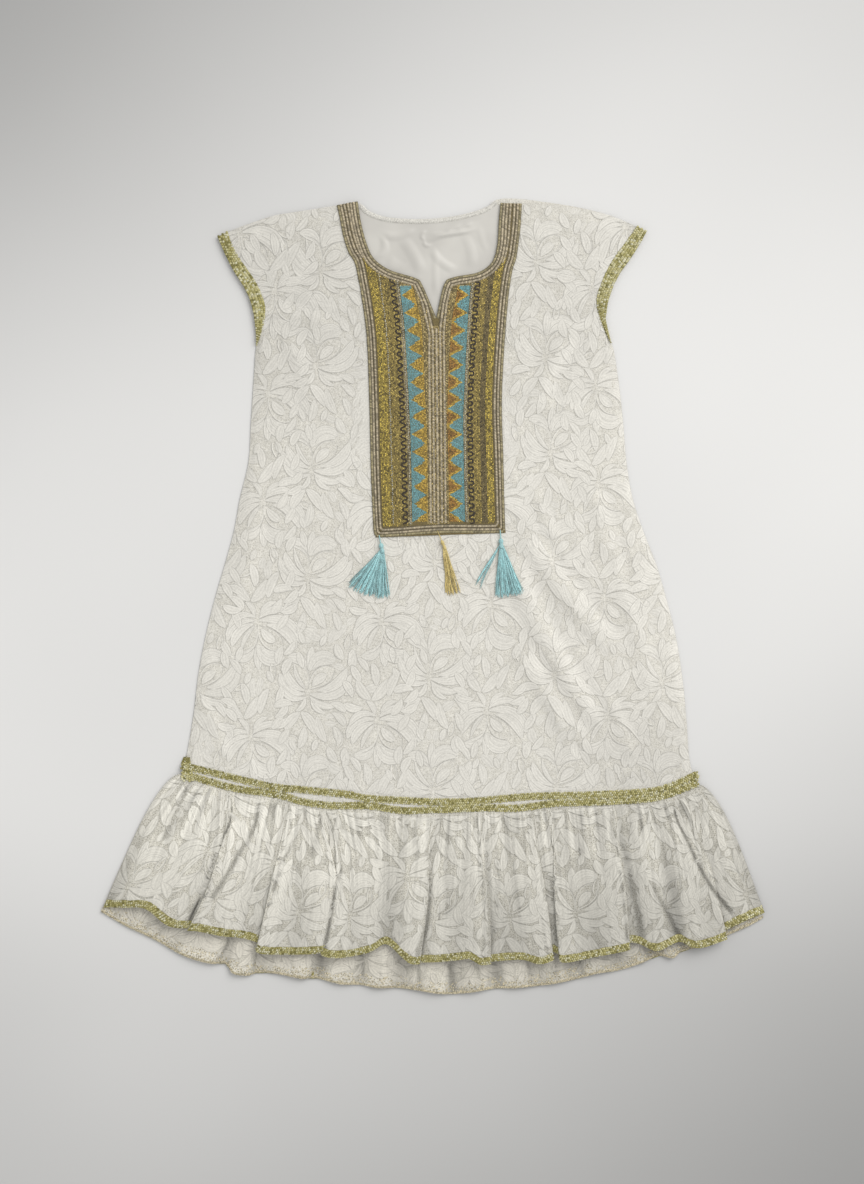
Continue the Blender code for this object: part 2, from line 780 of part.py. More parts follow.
def offset_path(path, distance):
    """The path moved sideways, to the left of its own direction."""
    rows = strip_rows(path, 2.0 * distance, 0.0, 0.0, ((1.0, 0.0),))
    return [row[0][0][:2] for row in rows]


def make_bib_cords():
    frame = bib_side("left") + bib_side("right")[::-1]
    inset = FRAME_CORDS_WIDTH / 2.0 + 0.3 * MM
    make_strip("bib_frame_cords", offset_path(frame, inset), FRAME_CORDS_WIDTH,
               BIB_TOP + SEAM_GAP, CORD, TWO_CORDS, "pale_cord")
    half = PLACKET_CORD_WIDTH / 2.0 + 0.4 * MM + NECK_CORDS_WIDTH / 2.0
    for side, sign in (("left", -1.0), ("right", 1.0)):
        path = offset_path(neckline(side), sign * NECK_CORD_INSET)
        path += [(PLACKET.top_x + sign * half, PLACKET_TOP),
                 (PLACKET.bottom_x + sign * half, PLACKET.bottom_y + 0.4 * MM)]
        make_strip(f"neck_cords_{side}", path, NECK_CORDS_WIDTH, BIB_TOP + SEAM_GAP, CORD,
                   TWO_CORDS, "pale_cord")
    make_strip("placket_cord", [(PLACKET.top_x, PLACKET_TOP),
                                (PLACKET.bottom_x, PLACKET.bottom_y + 0.4 * MM)],
               PLACKET_CORD_WIDTH, BIB_TOP + SEAM_GAP, CORD, ONE_CORD, "pale_cord")


def make_bands():
    """Two rows of interlocking points, turquoise outside and gold beside the placket."""
    ys = column(BANDS, "y")[::-1]
    steps = 2 * BAND_POINTS
    for side in ("left", "right"):
        outer_of = column(BANDS, side + "_outer")[::-1]
        inner_of = column(BANDS, side + "_inner")[::-1]
        sign = 1.0 if side == "left" else -1.0
        turquoise, gold = [], []
        for k in range(steps + 1):
            y = mix(BANDS[0].y, BANDS[-1].y, k / steps)
            outer, inner = curved(ys, outer_of, y), curved(ys, inner_of, y)
            reach = BAND_TIP if k % 2 else BAND_ROOT
            line = mix(outer, inner, reach)
            turquoise.append([(outer, y), (line, y)][::int(sign)])
            gold.append([(line + sign * BAND_GAP, y), (inner, y)][::int(sign)])
        for colour, rows in (("turquoise", turquoise), ("gold", gold)):
            walls = [layer(points, BIB_TOP + SEAM_GAP, BIB_CLOTH / 2.0) for points in rows]
            add_wall(f"{colour}_band_{side}", walls, f"{colour}_silk")


# The flounce


def flounce_side_bulge(share, down):
    """The side seams swell outwards just below the waist."""
    return FLOUNCE_BULGE * (2.0 * share - 1.0) ** 3 * math.sin(math.pi * math.sqrt(down))


def side_fade(share, width):
    return ease(share / width) * ease((1.0 - share) / width)


def span(value, start, end):
    """A smooth step from 0 at the start to 1 at the end."""
    return ease((value - start) / (end - start))


def back_wave(distance):
    """Greatest height of the back's waves at a distance below the waist seam."""
    return BACK_WAVE_HEIGHT * ease(distance / FLOUNCE_LENGTH)


def front_flounce_points():
    """Rows of flat points with their low height, for the front flounce."""
    tops = column(PLEATS, "top_x")
    columns = 2 * GATHERS
    rows = []
    for down in FRONT_FLOUNCE_ROWS:
        row = []
        for i in range(columns + 1):
            share = i / columns
            top_x = mix(tops[0], tops[-1], share)
            hem_x, hem_y, bow = (straight(tops, column(PLEATS, name), top_x)
                                 for name in ("hem_x", "hem_y", "bow"))
            at = min(max(bisect(tops, top_x) - 1, 0), len(tops) - 2)
            between = (top_x - tops[at]) / (tops[at + 1] - tops[at])
            lift = mix(PLEATS[at].lift, PLEATS[at + 1].lift, ease(between))
            top_y = seam_y(top_x) - SEAM_GAP * 1.4
            x = mix(top_x, hem_x, down) + bow * math.sin(math.pi * down)
            x += flounce_side_bulge(share, down)
            y = mix(top_y, hem_y, down)
            wave = back_wave(top_y - y) * side_fade(share, SIDE_CALM) * WAVE_CLEARANCE
            gather = GATHER_HEIGHT * (i % 2) * side_fade(share, SIDE_CALM / 2.0)
            off_waist = span(down, GATHERS_START, GATHERS_FULL)
            gather *= off_waist * (1.0 - span(down, GATHERS_FULL, GATHERS_END))
            hem_step = OVER_BRAID * span(down, HEM_STEP_START, HEM_STEP_END)
            away = BARE_LACE + SEAM_GAP + wave + hem_step + lift * ease(down) + gather
            row.append((x, y, mix(FRONT_LEVEL, away, off_waist)))
        rows.append(row)
    return rows


def back_flounce_points():
    """Rows of flat points with their low height, for the back flounce."""
    hems = column(BACK_HEM, "hem_x")
    rows = []
    for down in BACK_FLOUNCE_ROWS:
        row = []
        for i in range(BACK_FLOUNCE_COLUMNS + 1):
            share = i / BACK_FLOUNCE_COLUMNS
            top_x = mix(PLEATS[0].top_x, PLEATS[-1].top_x, share)
            hem_x = mix(hems[0], hems[-1], share)
            at = min(max(bisect(hems, hem_x) - 1, 0), len(hems) - 2)
            between = clamp((hem_x - hems[at]) / (hems[at + 1] - hems[at]))
            lift = mix(BACK_HEM[at].lift, BACK_HEM[at + 1].lift, ease(between))
            hem_y = mix(BACK_HEM[at].hem_y, BACK_HEM[at + 1].hem_y, between)
            top_y = seam_y(top_x) - SEAM_GAP * 1.4
            x = mix(top_x, hem_x, down) + flounce_side_bulge(share, down)
            y = mix(top_y, hem_y, down)
            wave = back_wave(top_y - y) * side_fade(share - 0.2 * SIDE_CALM, 1.5 * SIDE_CALM) * lift
            on_waist = OVER_BRAID * (1.0 - span(down, *BACK_FLOUNCE_ROWS[1:3]))
            on_hem = OVER_BRAID * span(down, *BACK_FLOUNCE_ROWS[-3:-1])
            row.append((x, y, wave + on_waist + on_hem))
        rows.append(row)
    return rows


def raised(rows, step, thickness):
    """Pairs for a wall that starts a step above the points."""
    return [[((x, y, z + step), (x, y, z + step + thickness)) for x, y, z in row] for row in rows]


def make_flounce():
    front = front_flounce_points()
    add_wall("front_ruffle", raised(front, 0.0, BARE_LACE), "white_lace")
    hem = front[-1 - FRONT_HEM_BRAID_ROWS:]
    add_wall("hem_braid_front", raised(hem, BARE_LACE + SEAM_GAP, BRAID), "gold_braid")
    back = back_flounce_points()
    add_wall("back_ruffle", raised(back, 0.0, BARE_LACE), "white_lace")
    hem = back[-1 - BACK_HEM_BRAID_ROWS:]
    add_wall("hem_braid_back", raised(hem, -OVER_BRAID, BRAID), "gold_braid")


# Tassels


def lay_on_front(x, y):
    return FRONT_TOP + SEAM_GAP + ridges(FOLDS, x, y)


def tassel_head(hang, head, count):
    """Rows of the bound head, from its hanging point down to the ends that become locks."""
    way = (head - hang).normalized()
    across = way.orthogonal()
    centres = [hang] + [head + way * (record.along - HEAD_START) for record in HEAD_ROWS[1:]]
    narrow = min(1.0, count / FULL_HEAD_LOCKS + 0.2)
    rows = []
    for centre, record in zip(centres, HEAD_ROWS):
        middle = lay_on_front(*centre) + HEAD_ROWS[3].half_depth
        row = []
        for k in range(count + 1):
            place = mix(-1.0, 1.0, k / count)
            depth = record.half_depth * math.sqrt(max(0.15, 1.0 - place * place))
            point = centre + across * place * record.half_width * narrow
            row.append(((*point, middle - depth), (*point, middle + depth)))
        rows.append(row)
    return rows


def draw_lock(bm, face, angle, length, lift):
    """Draw an end face out into a tapering lock that lies on the front."""
    aim = Vector((math.cos(angle), math.sin(angle), 0.0))
    side = Vector((-aim.y, aim.x, 0.0))
    start = face.calc_center_median()
    for record in LOCK_STEPS:
        face = bmesh.ops.extrude_discrete_faces(bm, faces=[face])["faces"][0]
        middle = face.calc_center_median()
        target = start + aim * record.along * length
        target.z = lay_on_front(target.x, target.y) + record.half_depth + LOCK_CLEARANCE + lift
        for vert in face.verts:
            off = vert.co - middle
            vert.co = target + side * math.copysign(record.half_width, off.dot(side))
            vert.co.z += math.copysign(record.half_depth, off.z)


def make_tassel(name, spec):
    """A bound head whose flat lower end is drawn out into locks that fan over the front."""
    hang = Vector(spec["hang"]) * MM
    head = Vector(spec["head"]) * MM
    way = (head - hang).normalized().to_3d()
    across = (head - hang).orthogonal().to_3d()
    bm = wall_mesh(tassel_head(hang, head, spec["locks"]))
    bm.normal_update()
    ends = [face for face in bm.faces if face.normal.dot(way) > 0.99]
    ends.sort(key=lambda face: face.calc_center_median().dot(across))
    bmesh.ops.inset_individual(bm, faces=ends, thickness=LOCK_INSET)
    for k, face in enumerate(ends):
        turn = mix(spec["first"], spec["last"], k / (len(ends) - 1))
        length = spec["length"] * MM
        length *= 1.0 - LOCK_VARIATION * (1.0 - math.sin(2.6 * k + 0.7))
        if k == 0 and spec["stray"] is not None:
            turn = spec["stray"]
            length *= STRAY_SHARE
        draw_lock(bm, face, math.radians(turn - 90.0), length, k % 2 * LOCK_LAYER)
    add(name, bm, spec["slot"])


def main():
    for item in list(bpy.data.objects):
        bpy.data.objects.remove(item)
    collection = bpy.data.collections.new("lace_dress")
    bpy.context.scene.collection.children.link(collection)
    make_back()
    make_lining()
    make_binding()
    front = make_front()
    make_cuff_braids(front)
    make_flounce()
    make_waist_braids()
    make_bib()
    make_bib_cords()
    make_bands()
    for name, spec in TASSELS.items():
        make_tassel(name, spec)


main()
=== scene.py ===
# %% [markdown]
# # A white lace dress, laid flat
#
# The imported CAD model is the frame: its plain walls give the size and the place of each piece.
# This script dresses it. It builds the lace, the satin lining, the gathered flounce, the braids,
# the embroidered bib and the tassels as meshes in the same frame, in metres, and then sets a pale
# floor, soft light and a camera that looks straight down. Before each step a few lines say what
# the piece is on the real dress, how it could be made, and why this way was chosen.

# %% Tools and the frame
import math

import bpy
import numpy as np
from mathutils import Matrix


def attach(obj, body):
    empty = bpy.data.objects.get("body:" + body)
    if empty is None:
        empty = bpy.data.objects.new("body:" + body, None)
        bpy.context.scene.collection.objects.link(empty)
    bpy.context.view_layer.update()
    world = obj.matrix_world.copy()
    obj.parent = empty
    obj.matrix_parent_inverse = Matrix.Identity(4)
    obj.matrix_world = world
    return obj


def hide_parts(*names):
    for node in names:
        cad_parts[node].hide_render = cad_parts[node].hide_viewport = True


MM = 0.001
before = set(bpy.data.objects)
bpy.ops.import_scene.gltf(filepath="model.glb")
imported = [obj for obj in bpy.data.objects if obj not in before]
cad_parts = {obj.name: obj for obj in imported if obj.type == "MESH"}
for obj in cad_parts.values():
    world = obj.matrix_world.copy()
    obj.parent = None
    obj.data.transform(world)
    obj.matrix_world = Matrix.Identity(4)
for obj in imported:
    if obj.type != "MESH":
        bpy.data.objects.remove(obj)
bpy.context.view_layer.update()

# %% [markdown]
# ## Sizes
#
# The dress lies in layers: the back on the surface, the lining on it, the front over both, and
# the bib and the braids on top. The layers could be separate objects, moved by hand until none
# cuts through another. Here every layer has a level in metres, the same as in the solids, and
# each mesh is built on one of them, so they keep apart everywhere at once.

# %% Levels
# Gap between the flounces, thickness of the lace with and without lining, and of a braid where
# cloth lies over one
SEAM_GAP = 0.3 * MM
LINED_LACE = 1.2 * MM
BARE_LACE = 1.0 * MM
OVER_BRAID = 1.2 * MM
# Heights over the surface
ON_BACK = 1.5 * MM
FRONT_LEVEL = 2.8 * MM
FRONT_TOP = 4.0 * MM
BIB_TOP = 5.3 * MM
# Way over which the front rises from its side seam, and sizes of the flounce
SIDE_RISE = 34.0 * MM
BACK_WAVE_HEIGHT = 3.6 * MM
FLOUNCE_LENGTH = 240.0 * MM
FLOUNCE_BULGE = 15.0 * MM
HEM_BRAID = 10.0 * MM
print(f"tops in mm: back {ON_BACK / MM:.1f}, front {FRONT_TOP / MM:.1f}, bib {BIB_TOP / MM:.1f}")

# %% [markdown]
# ## Outlines
#
# The edges of the sleeves, sides, shoulders and waist are curves that somebody cut and sewed.
# They could be drawn as curve objects in the editor. Here each is a short table of points,
# because a table is easy to read and change, and because the solids were made from the same rows.

# %% Outlines
def table(*rows):
    """Rows in millimetres as an array in metres."""
    return np.array(rows, float) * MM


# Sleeve edge x, y, inner edge of its braid x, y, neckline x, y
LEFT_SLEEVE = table(
    (-279, 467, -266, 474, -97, 513), (-268, 442, -256, 449, -93, 487),
    (-257, 421, -243, 429, -86, 460), (-246, 404, -232, 413, -76, 439),
    (-238, 388, -223, 396, -55, 424), (-233, 370, -217, 376, -22, 413.5),
    (-230, 350, -219, 355, -13, 404), (-229, 326, -226, 332, 5, 362))
RIGHT_SLEEVE = table(
    (278, 474, 265, 481, 88, 511), (266, 453, 252, 462, 86, 485),
    (255, 436, 239, 445, 84, 456), (244, 421, 229, 429, 77, 434),
    (235, 404, 220, 410, 59, 421), (228, 383, 213, 387, 27, 414.5),
    (225, 361, 216, 364, 15, 405), (232, 330, 228, 336, 5, 362))
# Side seams: left x, y, right x, y
SIDES = table(
    (-230, 318, 236, 318), (-233, 270, 243, 270), (-236, 223, 248, 223), (-239, 175, 252, 175),
    (-250, 128, 260, 128), (-258, 85, 274, 85), (-270, 41, 291, 41), (-282, 0, 303, 0),
    (-294, -48, 316, -51), (-304, -100, 325, -108), (-310, -150, 330, -160),
    (-317, -193, 334, -212), (-324, -229, 342, -243))
FRONT_SHOULDER = table(
    (-279, 467), (-266, 474), (-203, 496), (-125, 508), (-97, 513), (88, 511), (116, 510),
    (139, 511), (167, 508), (199, 503), (232, 495), (265, 481), (278, 474))
BACK_TOP = table(
    (-279, 467), (-266, 474), (-262, 476), (-232, 487), (-203, 496), (-164, 502), (-125, 508),
    (-97, 512), (-84, 502), (-62, 494), (-29, 491), (7, 492), (44, 498), (71, 507), (86, 517),
    (114, 517), (139, 514), (167, 510), (199, 504), (232, 495), (260, 483), (265, 481),
    (278, 474))
# Waist braids: x, upper y, lower y
WAIST = table(
    (-325, -219, -229.5), (-283, -229, -242), (-236, -240, -253), (-190, -248, -262),
    (-144, -253, -270), (-110, -256, -272), (-64, -261, -275), (-20, -264, -279),
    (36, -266, -277), (81, -263, -275), (126, -259, -272), (171, -257, -269),
    (218, -253, -265), (291, -249, -261), (343, -231, -243))
print("corner points of the outlines:",
      sum(map(len, (LEFT_SLEEVE, RIGHT_SLEEVE, SIDES, FRONT_SHOULDER, BACK_TOP, WAIST))))

# %% [markdown]
# ## Folds and creases
#
# Cloth that lies loose has long soft folds, and satin has short sharp creases. Sculpting or a
# cloth simulation could make them, but a simulation doesn't put a fold where the photo has it.
# So each fold is a row of a table, a low ridge from one point to another.

# %% Folds and creases
# Folds of the front: start x, y, end x, y, bow, width, height
FOLDS = table(
    (120, 93, 241, -69, 6, 22, 2.8), (103, 48, 230, -182, 8, 22, 3.2),
    (118, -66, 214, -205, 4, 22, 2.6), (205, 152, 233, 48, -4, 17, 1.8),
    (262, 20, 290, -130, 3, 18, 1.4), (-222, 190, -243, 0, -4, 18, 1.4),
    (-20, 40, -36, -190, 3, 26, 1.0), (185, 345, 140, 228, 6, 20, 1.5),
    (-190, 345, -150, 240, -6, 20, 1.2))
SMALL_FOLDS = table(
    (-228, 372, -120, 352, -8, 12, 0.9), (-236, 476, -176, 452, 5, 9, 0.8),
    (110, 372, 214, 352, 9, 12, 0.7), (118, 250, 222, 232, -7, 14, 0.6),
    (130, 160, 190, 30, 8, 13, 0.8), (238, 70, 262, -40, 3, 12, 0.9),
    (150, -120, 200, -232, 4, 10, 1.0), (222, -120, 262, -214, -5, 13, 1.0),
    (-306, -120, -262, -214, -4, 12, 0.9), (-246, -172, -224, -236, 2, 8, 0.7),
    (-120, 60, -96, -210, 5, 20, 0.5), (50, 20, 66, -190, -4, 18, 0.5))
# Creases of the satin lining
CREASES = table(
    (-76, 438, -66, 470, 9, 6, 1.1), (-66, 470, -22, 478, 5, 6, 1.2),
    (-40, 466, -14, 420, -3, 8, 1.1), (-8, 462, 50, 474, -3, 4, 1.3),
    (-4, 470, 60, 480, 3, 4, 1.2), (16, 474, 40, 490, 2, 3.5, 1.1),
    (30, 476, 54, 492, 2, 3.5, 1.1), (44, 480, 68, 494, 2, 3.5, 0.9),
    (-9, 476, -12, 462, 3, 3, 1.0), (-12, 462, -2, 456, 3, 3, 1.0),
    (-2, 452, 30, 424, 4, 6, 1.1), (42, 470, 52, 428, -3, 7, 0.8),
    (-58, 440, -34, 424, 3, 8, 0.6), (62, 484, 74, 446, 3, 5, 0.7),
    (4, 448, 6, 380, 1, 5, 0.7))
print(f"{len(FOLDS) + len(SMALL_FOLDS)} folds of the front, {len(CREASES)} creases of the lining")

# %% [markdown]
# ## Pleats of the flounce
#
# A gathered flounce is a long strip drawn in to the waist by a thread, so its pleats are narrow
# at the top and open towards the hem. A simulation of the gathering would give other pleats each
# time. Here a row gives one crest or valley: where it starts, where it ends and how high it is.
# The eye reads gathers mostly by their dark hollows, so those have a table of their own, which
# lowers the cloth a little and paints shade along them.

# %% Pleats and troughs
# Front pleats: place at the waist, hem x, hem y, lift, bow
PLEATS = table(
    (-328, -427, -403, 0, 0), (-307, -400, -403, 2.5, 0), (-289, -372, -404, 4.5, 6),
    (-278, -343, -426, 3, 14), (-267, -316, -430, 0.3, 20), (-258, -303, -433, 5.5, 20),
    (-227, -274, -439, 4.5, 10), (-206, -248, -442, 2, 2), (-190, -227, -448, 0.6, 4),
    (-183, -220, -462, 6, 5), (-166, -185, -463, 4.5, 10), (-151, -154, -462, 6, 18),
    (-144, -143, -453, 0.2, 20), (-137, -131, -467, 7, 20), (-114, -109, -466, 5, 12),
    (-81, -81, -460, 4, 5), (-53, -60, -450, 2, 2), (-22, -38, -468, 5, 2),
    (-4, -27, -475, 6.5, 2), (4, -18, -474, 1, 0), (18, 5, -473, 3, 0), (38, 29, -471, 3, 0),
    (52, 48, -469, 5, 0), (61, 62, -476, 6.5, 0), (68, 74, -473, 1, 0), (98, 115, -470, 2.5, 0),
    (118, 136, -475, 6, 0), (126, 149, -473, 6.5, 0), (132, 155, -460, 0.6, 0),
    (146, 166, -464, 3, 0), (156, 174, -473, 6.5, 0), (192, 211, -466, 5, 0),
    (226, 246, -459, 6.5, 0), (234, 254, -448, 0.6, 0), (250, 269, -450, 1.5, 0),
    (268, 291, -458, 6, 0), (283, 319, -447, 1.5, 0), (294, 334, -453, 5.5, 0),
    (303, 349, -454, 6, 0), (312, 371, -447, 5, 0), (319, 380, -432, 0.3, 0),
    (330, 405, -420, 3, 0), (345, 431, -410, 0, 0))
# Troughs of the flounce: half width at its start and end and darkness of its painted shade,
# then the points that it runs through
TROUGHS = (
    (5, 7, 0.30, (-314, -240), (-330, -275), (-347, -312)),
    (1.5, 1.5, 0.25, (-305, -244), (-315, -272)), (1.5, 1.5, 0.25, (-288, -250), (-298, -278)),
    (1.8, 3.2, 0.80, (-260, -262), (-263, -292), (-276, -322), (-300, -385), (-318, -426)),
    (4, 6, 0.36, (-224, -266), (-232, -300), (-252, -335), (-272, -370), (-284, -388)),
    (3, 3.5, 0.38, (-187, -268), (-183, -318), (-195, -345), (-206, -380)),
    (4, 6, 0.26, (-144, -282), (-151, -312), (-157, -335)),
    (1.5, 1.5, 0.30, (-122, -280), (-133, -312), (-140, -350)),
    (2.2, 4.6, 0.60, (-117, -348), (-126, -380), (-133, -420), (-140, -458)),
    (1.6, 1.6, 0.30, (-68, -284), (-69, -320), (-76, -350)),
    (2, 2, 0.22, (-42, -276), (-40, -350)), (5, 5, 0.20, (-25, -296), (-21, -335)),
    (1.5, 8, 0.36, (-2, -288), (-3, -380), (-8, -425), (-18, -462)),
    (1.5, 2, 0.34, (12, -280), (12, -330), (9, -400), (10, -425)),
    (9, 9, 0.20, (22, -286), (21, -350), (18, -410)),
    (1.8, 3, 0.34, (62, -284), (62, -340), (66, -400), (66, -465)),
    (5, 7, 0.26, (70, -305), (72, -380), (74, -460)),
    (3, 4, 0.28, (85, -300), (84, -380), (79, -445)), (3, 4, 0.24, (104, -345), (112, -405)),
    (1.5, 2, 0.34, (147, -280), (153, -312), (161, -352), (167, -450)),
    (1.5, 2, 0.32, (128, -325), (137, -380), (144, -430), (150, -462)),
    (6, 7, 0.22, (152, -350), (156, -400), (160, -450)),
    (2, 3, 0.34, (190, -280), (192, -310), (190, -345)),
    (1.8, 3, 0.38, (231, -274), (237, -312), (243, -352), (248, -400), (252, -444)),
    (6, 9, 0.26, (240, -300), (255, -350), (264, -400), (272, -440)),
    (3, 4, 0.30, (266, -272), (273, -305)), (2.5, 3, 0.30, (282, -274), (293, -303)),
    (2.2, 4.6, 0.50, (313, -268), (317, -290), (331, -317), (345, -348), (364, -380),
     (386, -407)),
    (4, 6, 0.34, (284, -372), (300, -402), (320, -440)), (3, 4, 0.22, (338, -262), (352, -292)),
    (2, 3, 0.25, (-90, -284), (-96, -310)), (2, 3, 0.24, (44, -286), (46, -318)),
    (2, 3, 0.24, (108, -284), (110, -312)), (2, 2.5, 0.25, (210, -276), (214, -300)),
    (2, 2.5, 0.28, (300, -268), (306, -288)), (2, 2.5, 0.25, (-240, -262), (-243, -286)),
    (2, 2.5, 0.25, (-205, -266), (-209, -290)), (2, 2.5, 0.22, (-166, -272), (-168, -300)))
# Painted shade along the troughs of the back flounce, in the same columns
BACK_TROUGHS = (
    (3, 5, 0.29, (-264, -440), (-268, -455), (-280, -474)),
    (5, 6, 0.27, (-226, -446), (-234, -488)),
    (8, 9, 0.24, (-146, -452), (-142, -494)), (4, 4, 0.22, (-92, -462), (-90, -492)),
    (3, 3, 0.18, (-56, -452), (-58, -490)), (5, 4, 0.24, (-20, -476), (-16, -508)),
    (7, 8, 0.29, (22, -474), (26, -510)), (4, 5, 0.24, (58, -478), (62, -508)),
    (10, 8, 0.19, (82, -474), (88, -508)), (4, 4, 0.22, (124, -470), (128, -504)),
    (5, 5, 0.26, (160, -456), (160, -498)), (4, 4, 0.24, (192, -468), (196, -490)),
    (5, 5, 0.20, (224, -462), (220, -486)), (6, 5, 0.22, (274, -450), (280, -474)),
    (5, 4, 0.24, (308, -450), (318, -464)), (5, 4, 0.20, (380, -428), (392, -434)),
    (4, 4, 0.17, (-330, -436), (-334, -462)), (4, 4, 0.16, (-368, -420), (-374, -438)))
# Back hem: x, y, height as thousandths of a wave
BACK_HEM = table(
    (-431, -409, 0), (-400, -427, 300), (-360, -446, 100), (-324, -466, 500),
    (-290, -476, 900), (-269, -477, 100), (-259, -489, 950), (-240, -492, 600),
    (-225, -488, 50), (-200, -490, 500), (-170, -496, 950), (-153, -495, 50),
    (-120, -503, 800), (-95, -504, 150), (-71, -508, 850), (-45, -508, 150), (-20, -511, 700),
    (5, -515, 950), (28, -516, 100), (55, -513, 900), (81, -509, 50), (110, -508, 750),
    (140, -505, 250), (160, -502, 850), (189, -496, 150), (215, -489, 900), (243, -485, 50),
    (273, -475, 700), (293, -466, 150), (312, -469, 950), (325, -460, 50), (355, -453, 650),
    (383, -440, 150), (410, -428, 400), (430, -417, 0))
print(f"{len(PLEATS)} crests and valleys in front, {len(TROUGHS)} and {len(BACK_TROUGHS)} troughs")

# %% [markdown]
# ## Outline of the bib
#
# The bib is a stiff embroidered piece that was cut out and sewn on. Its two sides, the bands of
# pointed stitches and the placket are again tables, which the cloth, the cords and the stitches
# of the bib share, so that they always meet.

# %% The bib's lines
# Bib: left x, y, right x, y
BIB = table(
    (-124, 508, 116, 510), (-120, 489, 115, 489), (-116, 468, 113, 468), (-109, 447, 109, 440),
    (-101, 433, 104, 424), (-96, 410, 100, 400), (-90, 375, 97, 372), (-85, 330, 93, 320),
    (-82, 250, 90, 250), (-80, 160, 92, 180), (-77, 92, 94, 100), (-74, 77, 95, 83))
# Bands: y, left outer, left inner, right inner, right outer
BANDS = table(
    (430, -45, -28, 36, 52), (391, -41, -23, 31, 48), (348, -36, -14, 24, 45),
    (245, -30, -9, 19, 40), (197, -28, -7, 20, 40), (98, -26, -6, 22, 42))
PLACKET_TOP, PLACKET_BOTTOM = table((5, 348), (7.5, 94))
NECK_LEFT, NECK_RIGHT = -93.0 * MM, 83.0 * MM
print(f"bib {(BIB[:, 2].max() - BIB[:, 0].min()) / MM:.0f} mm wide at the straps")

# %% [markdown]
# ## Curves
#
# Every piece needs a smooth line through a few points, even steps along it, and lines beside it.
# Blender's curve objects can do that, but the cloth, the cords and the stitches all have to ask
# where a line is. Short functions on arrays answer that directly.

# %% Curves
rng = np.random.default_rng(11)


def ease(value):
    """From 0 to 1 with a soft start and end."""
    value = np.clip(value, 0.0, 1.0)
    return value * value * (3.0 - 2.0 * value)


def mix(start, end, share):
    return start + (end - start) * share


def spline(points, steps=10):
    """A smooth line through points, as a dense array with the same columns."""
    p = np.asarray(points, float)
    before = np.vstack([2.0 * p[:1] - p[1:2], p[:-1]])
    after = np.vstack([p[1:], 2.0 * p[-1:] - p[-2:-1]])
    slope = (after - before) / 2.0
    s = np.linspace(0.0, 1.0, steps, endpoint=False)[:, None]
    h = s * s * (3.0 - 2.0 * s)
    parts = [mix(p[i], p[i + 1], h) + slope[i] * s * (1.0 - s) ** 2
             - slope[i + 1] * s * s * (1.0 - s) for i in range(len(p) - 1)]
    return np.vstack(parts + [p[-1:]])


def x_of(line):
    """x on a line that runs down the dress, as a function of y."""
    return lambda y: np.interp(-y, -line[:, 1], line[:, 0])


def y_of(line, column=1):
    """y on a line that runs across the dress, as a function of x."""
    return lambda x: np.interp(x, line[:, 0], line[:, column])


def resample(path, pitch):
    """Points at an even pitch along a path, and the path's angle at each."""
    step = np.hypot(*np.diff(path[:, :2], axis=0).T)
    place = np.concatenate([[0.0], np.cumsum(step)])
    count = max(2, int(round(place[-1] / pitch)))
    at = (np.arange(count) + 0.5) * place[-1] / count
    points = np.stack([np.interp(at, place, path[:, k]) for k in range(2)], -1)
    ahead = np.stack([np.interp(at + pitch, place, path[:, k]) for k in range(2)], -1)
    behind = np.stack([np.interp(at - pitch, place, path[:, k]) for k in range(2)], -1)
    way = ahead - behind
    return points, np.arctan2(way[:, 1], way[:, 0])


def offset(path, distance):
    """A path moved sideways, to the left of its own direction."""
    way = np.gradient(path, axis=0)
    way /= np.hypot(way[:, 0], way[:, 1])[:, None]
    return path + np.stack([-way[:, 1], way[:, 0]], -1) * distance


left_line = spline(np.vstack([LEFT_SLEEVE[:, :2], SIDES[:, :2]]))
right_line = spline(np.vstack([RIGHT_SLEEVE[:, :2], SIDES[:, 2:]]))
left_x, right_x = x_of(left_line), x_of(right_line)
left_braid_x = x_of(spline(LEFT_SLEEVE[:, 2:4]))
right_braid_x = x_of(spline(RIGHT_SLEEVE[:, 2:4]))
left_neck = spline(LEFT_SLEEVE[:, 4:])
right_neck = spline(RIGHT_SLEEVE[:, 4:])
waist_line = spline(WAIST)
upper_y, seam_y = y_of(waist_line, 1), y_of(waist_line, 2)
front_top_y = y_of(FRONT_SHOULDER)
back_top_y = y_of(spline(BACK_TOP, 6))
bib_left, bib_right = spline(BIB[:, :2]), spline(BIB[:, 2:])
print(f"chest {(right_x(0.27) - left_x(0.27)) / MM:.0f} mm wide")

# %% [markdown]
# ## Ridges and troughs
#
# Folds could be pressed into the mesh with a displacement texture. A height that any place can
# ask for is handier, because the petals, the light and shade of the lace and the tassel threads
# have to follow the same folds as the cloth under them.

# %% Ridges and troughs
def ridges(rows, x, y):
    """Height of all the ridges of a table."""
    height = np.zeros(np.broadcast(x, y).shape)
    for start_x, start_y, end_x, end_y, bow, width, tall in rows:
        run_x, run_y = end_x - start_x, end_y - start_y
        length = math.hypot(run_x, run_y)
        along = ((x - start_x) * run_x + (y - start_y) * run_y) / length ** 2
        across = ((x - start_x) * run_y - (y - start_y) * run_x) / length
        across = across - bow * np.sin(np.pi * np.clip(along, 0.0, 1.0))
        fade = ease(along / 0.3 + 0.2) * ease((1.0 - along) / 0.3 + 0.2)
        height = height + tall * fade * (1.0 - np.clip((across / width) ** 2, 0.0, 1.0)) ** 2
    return height


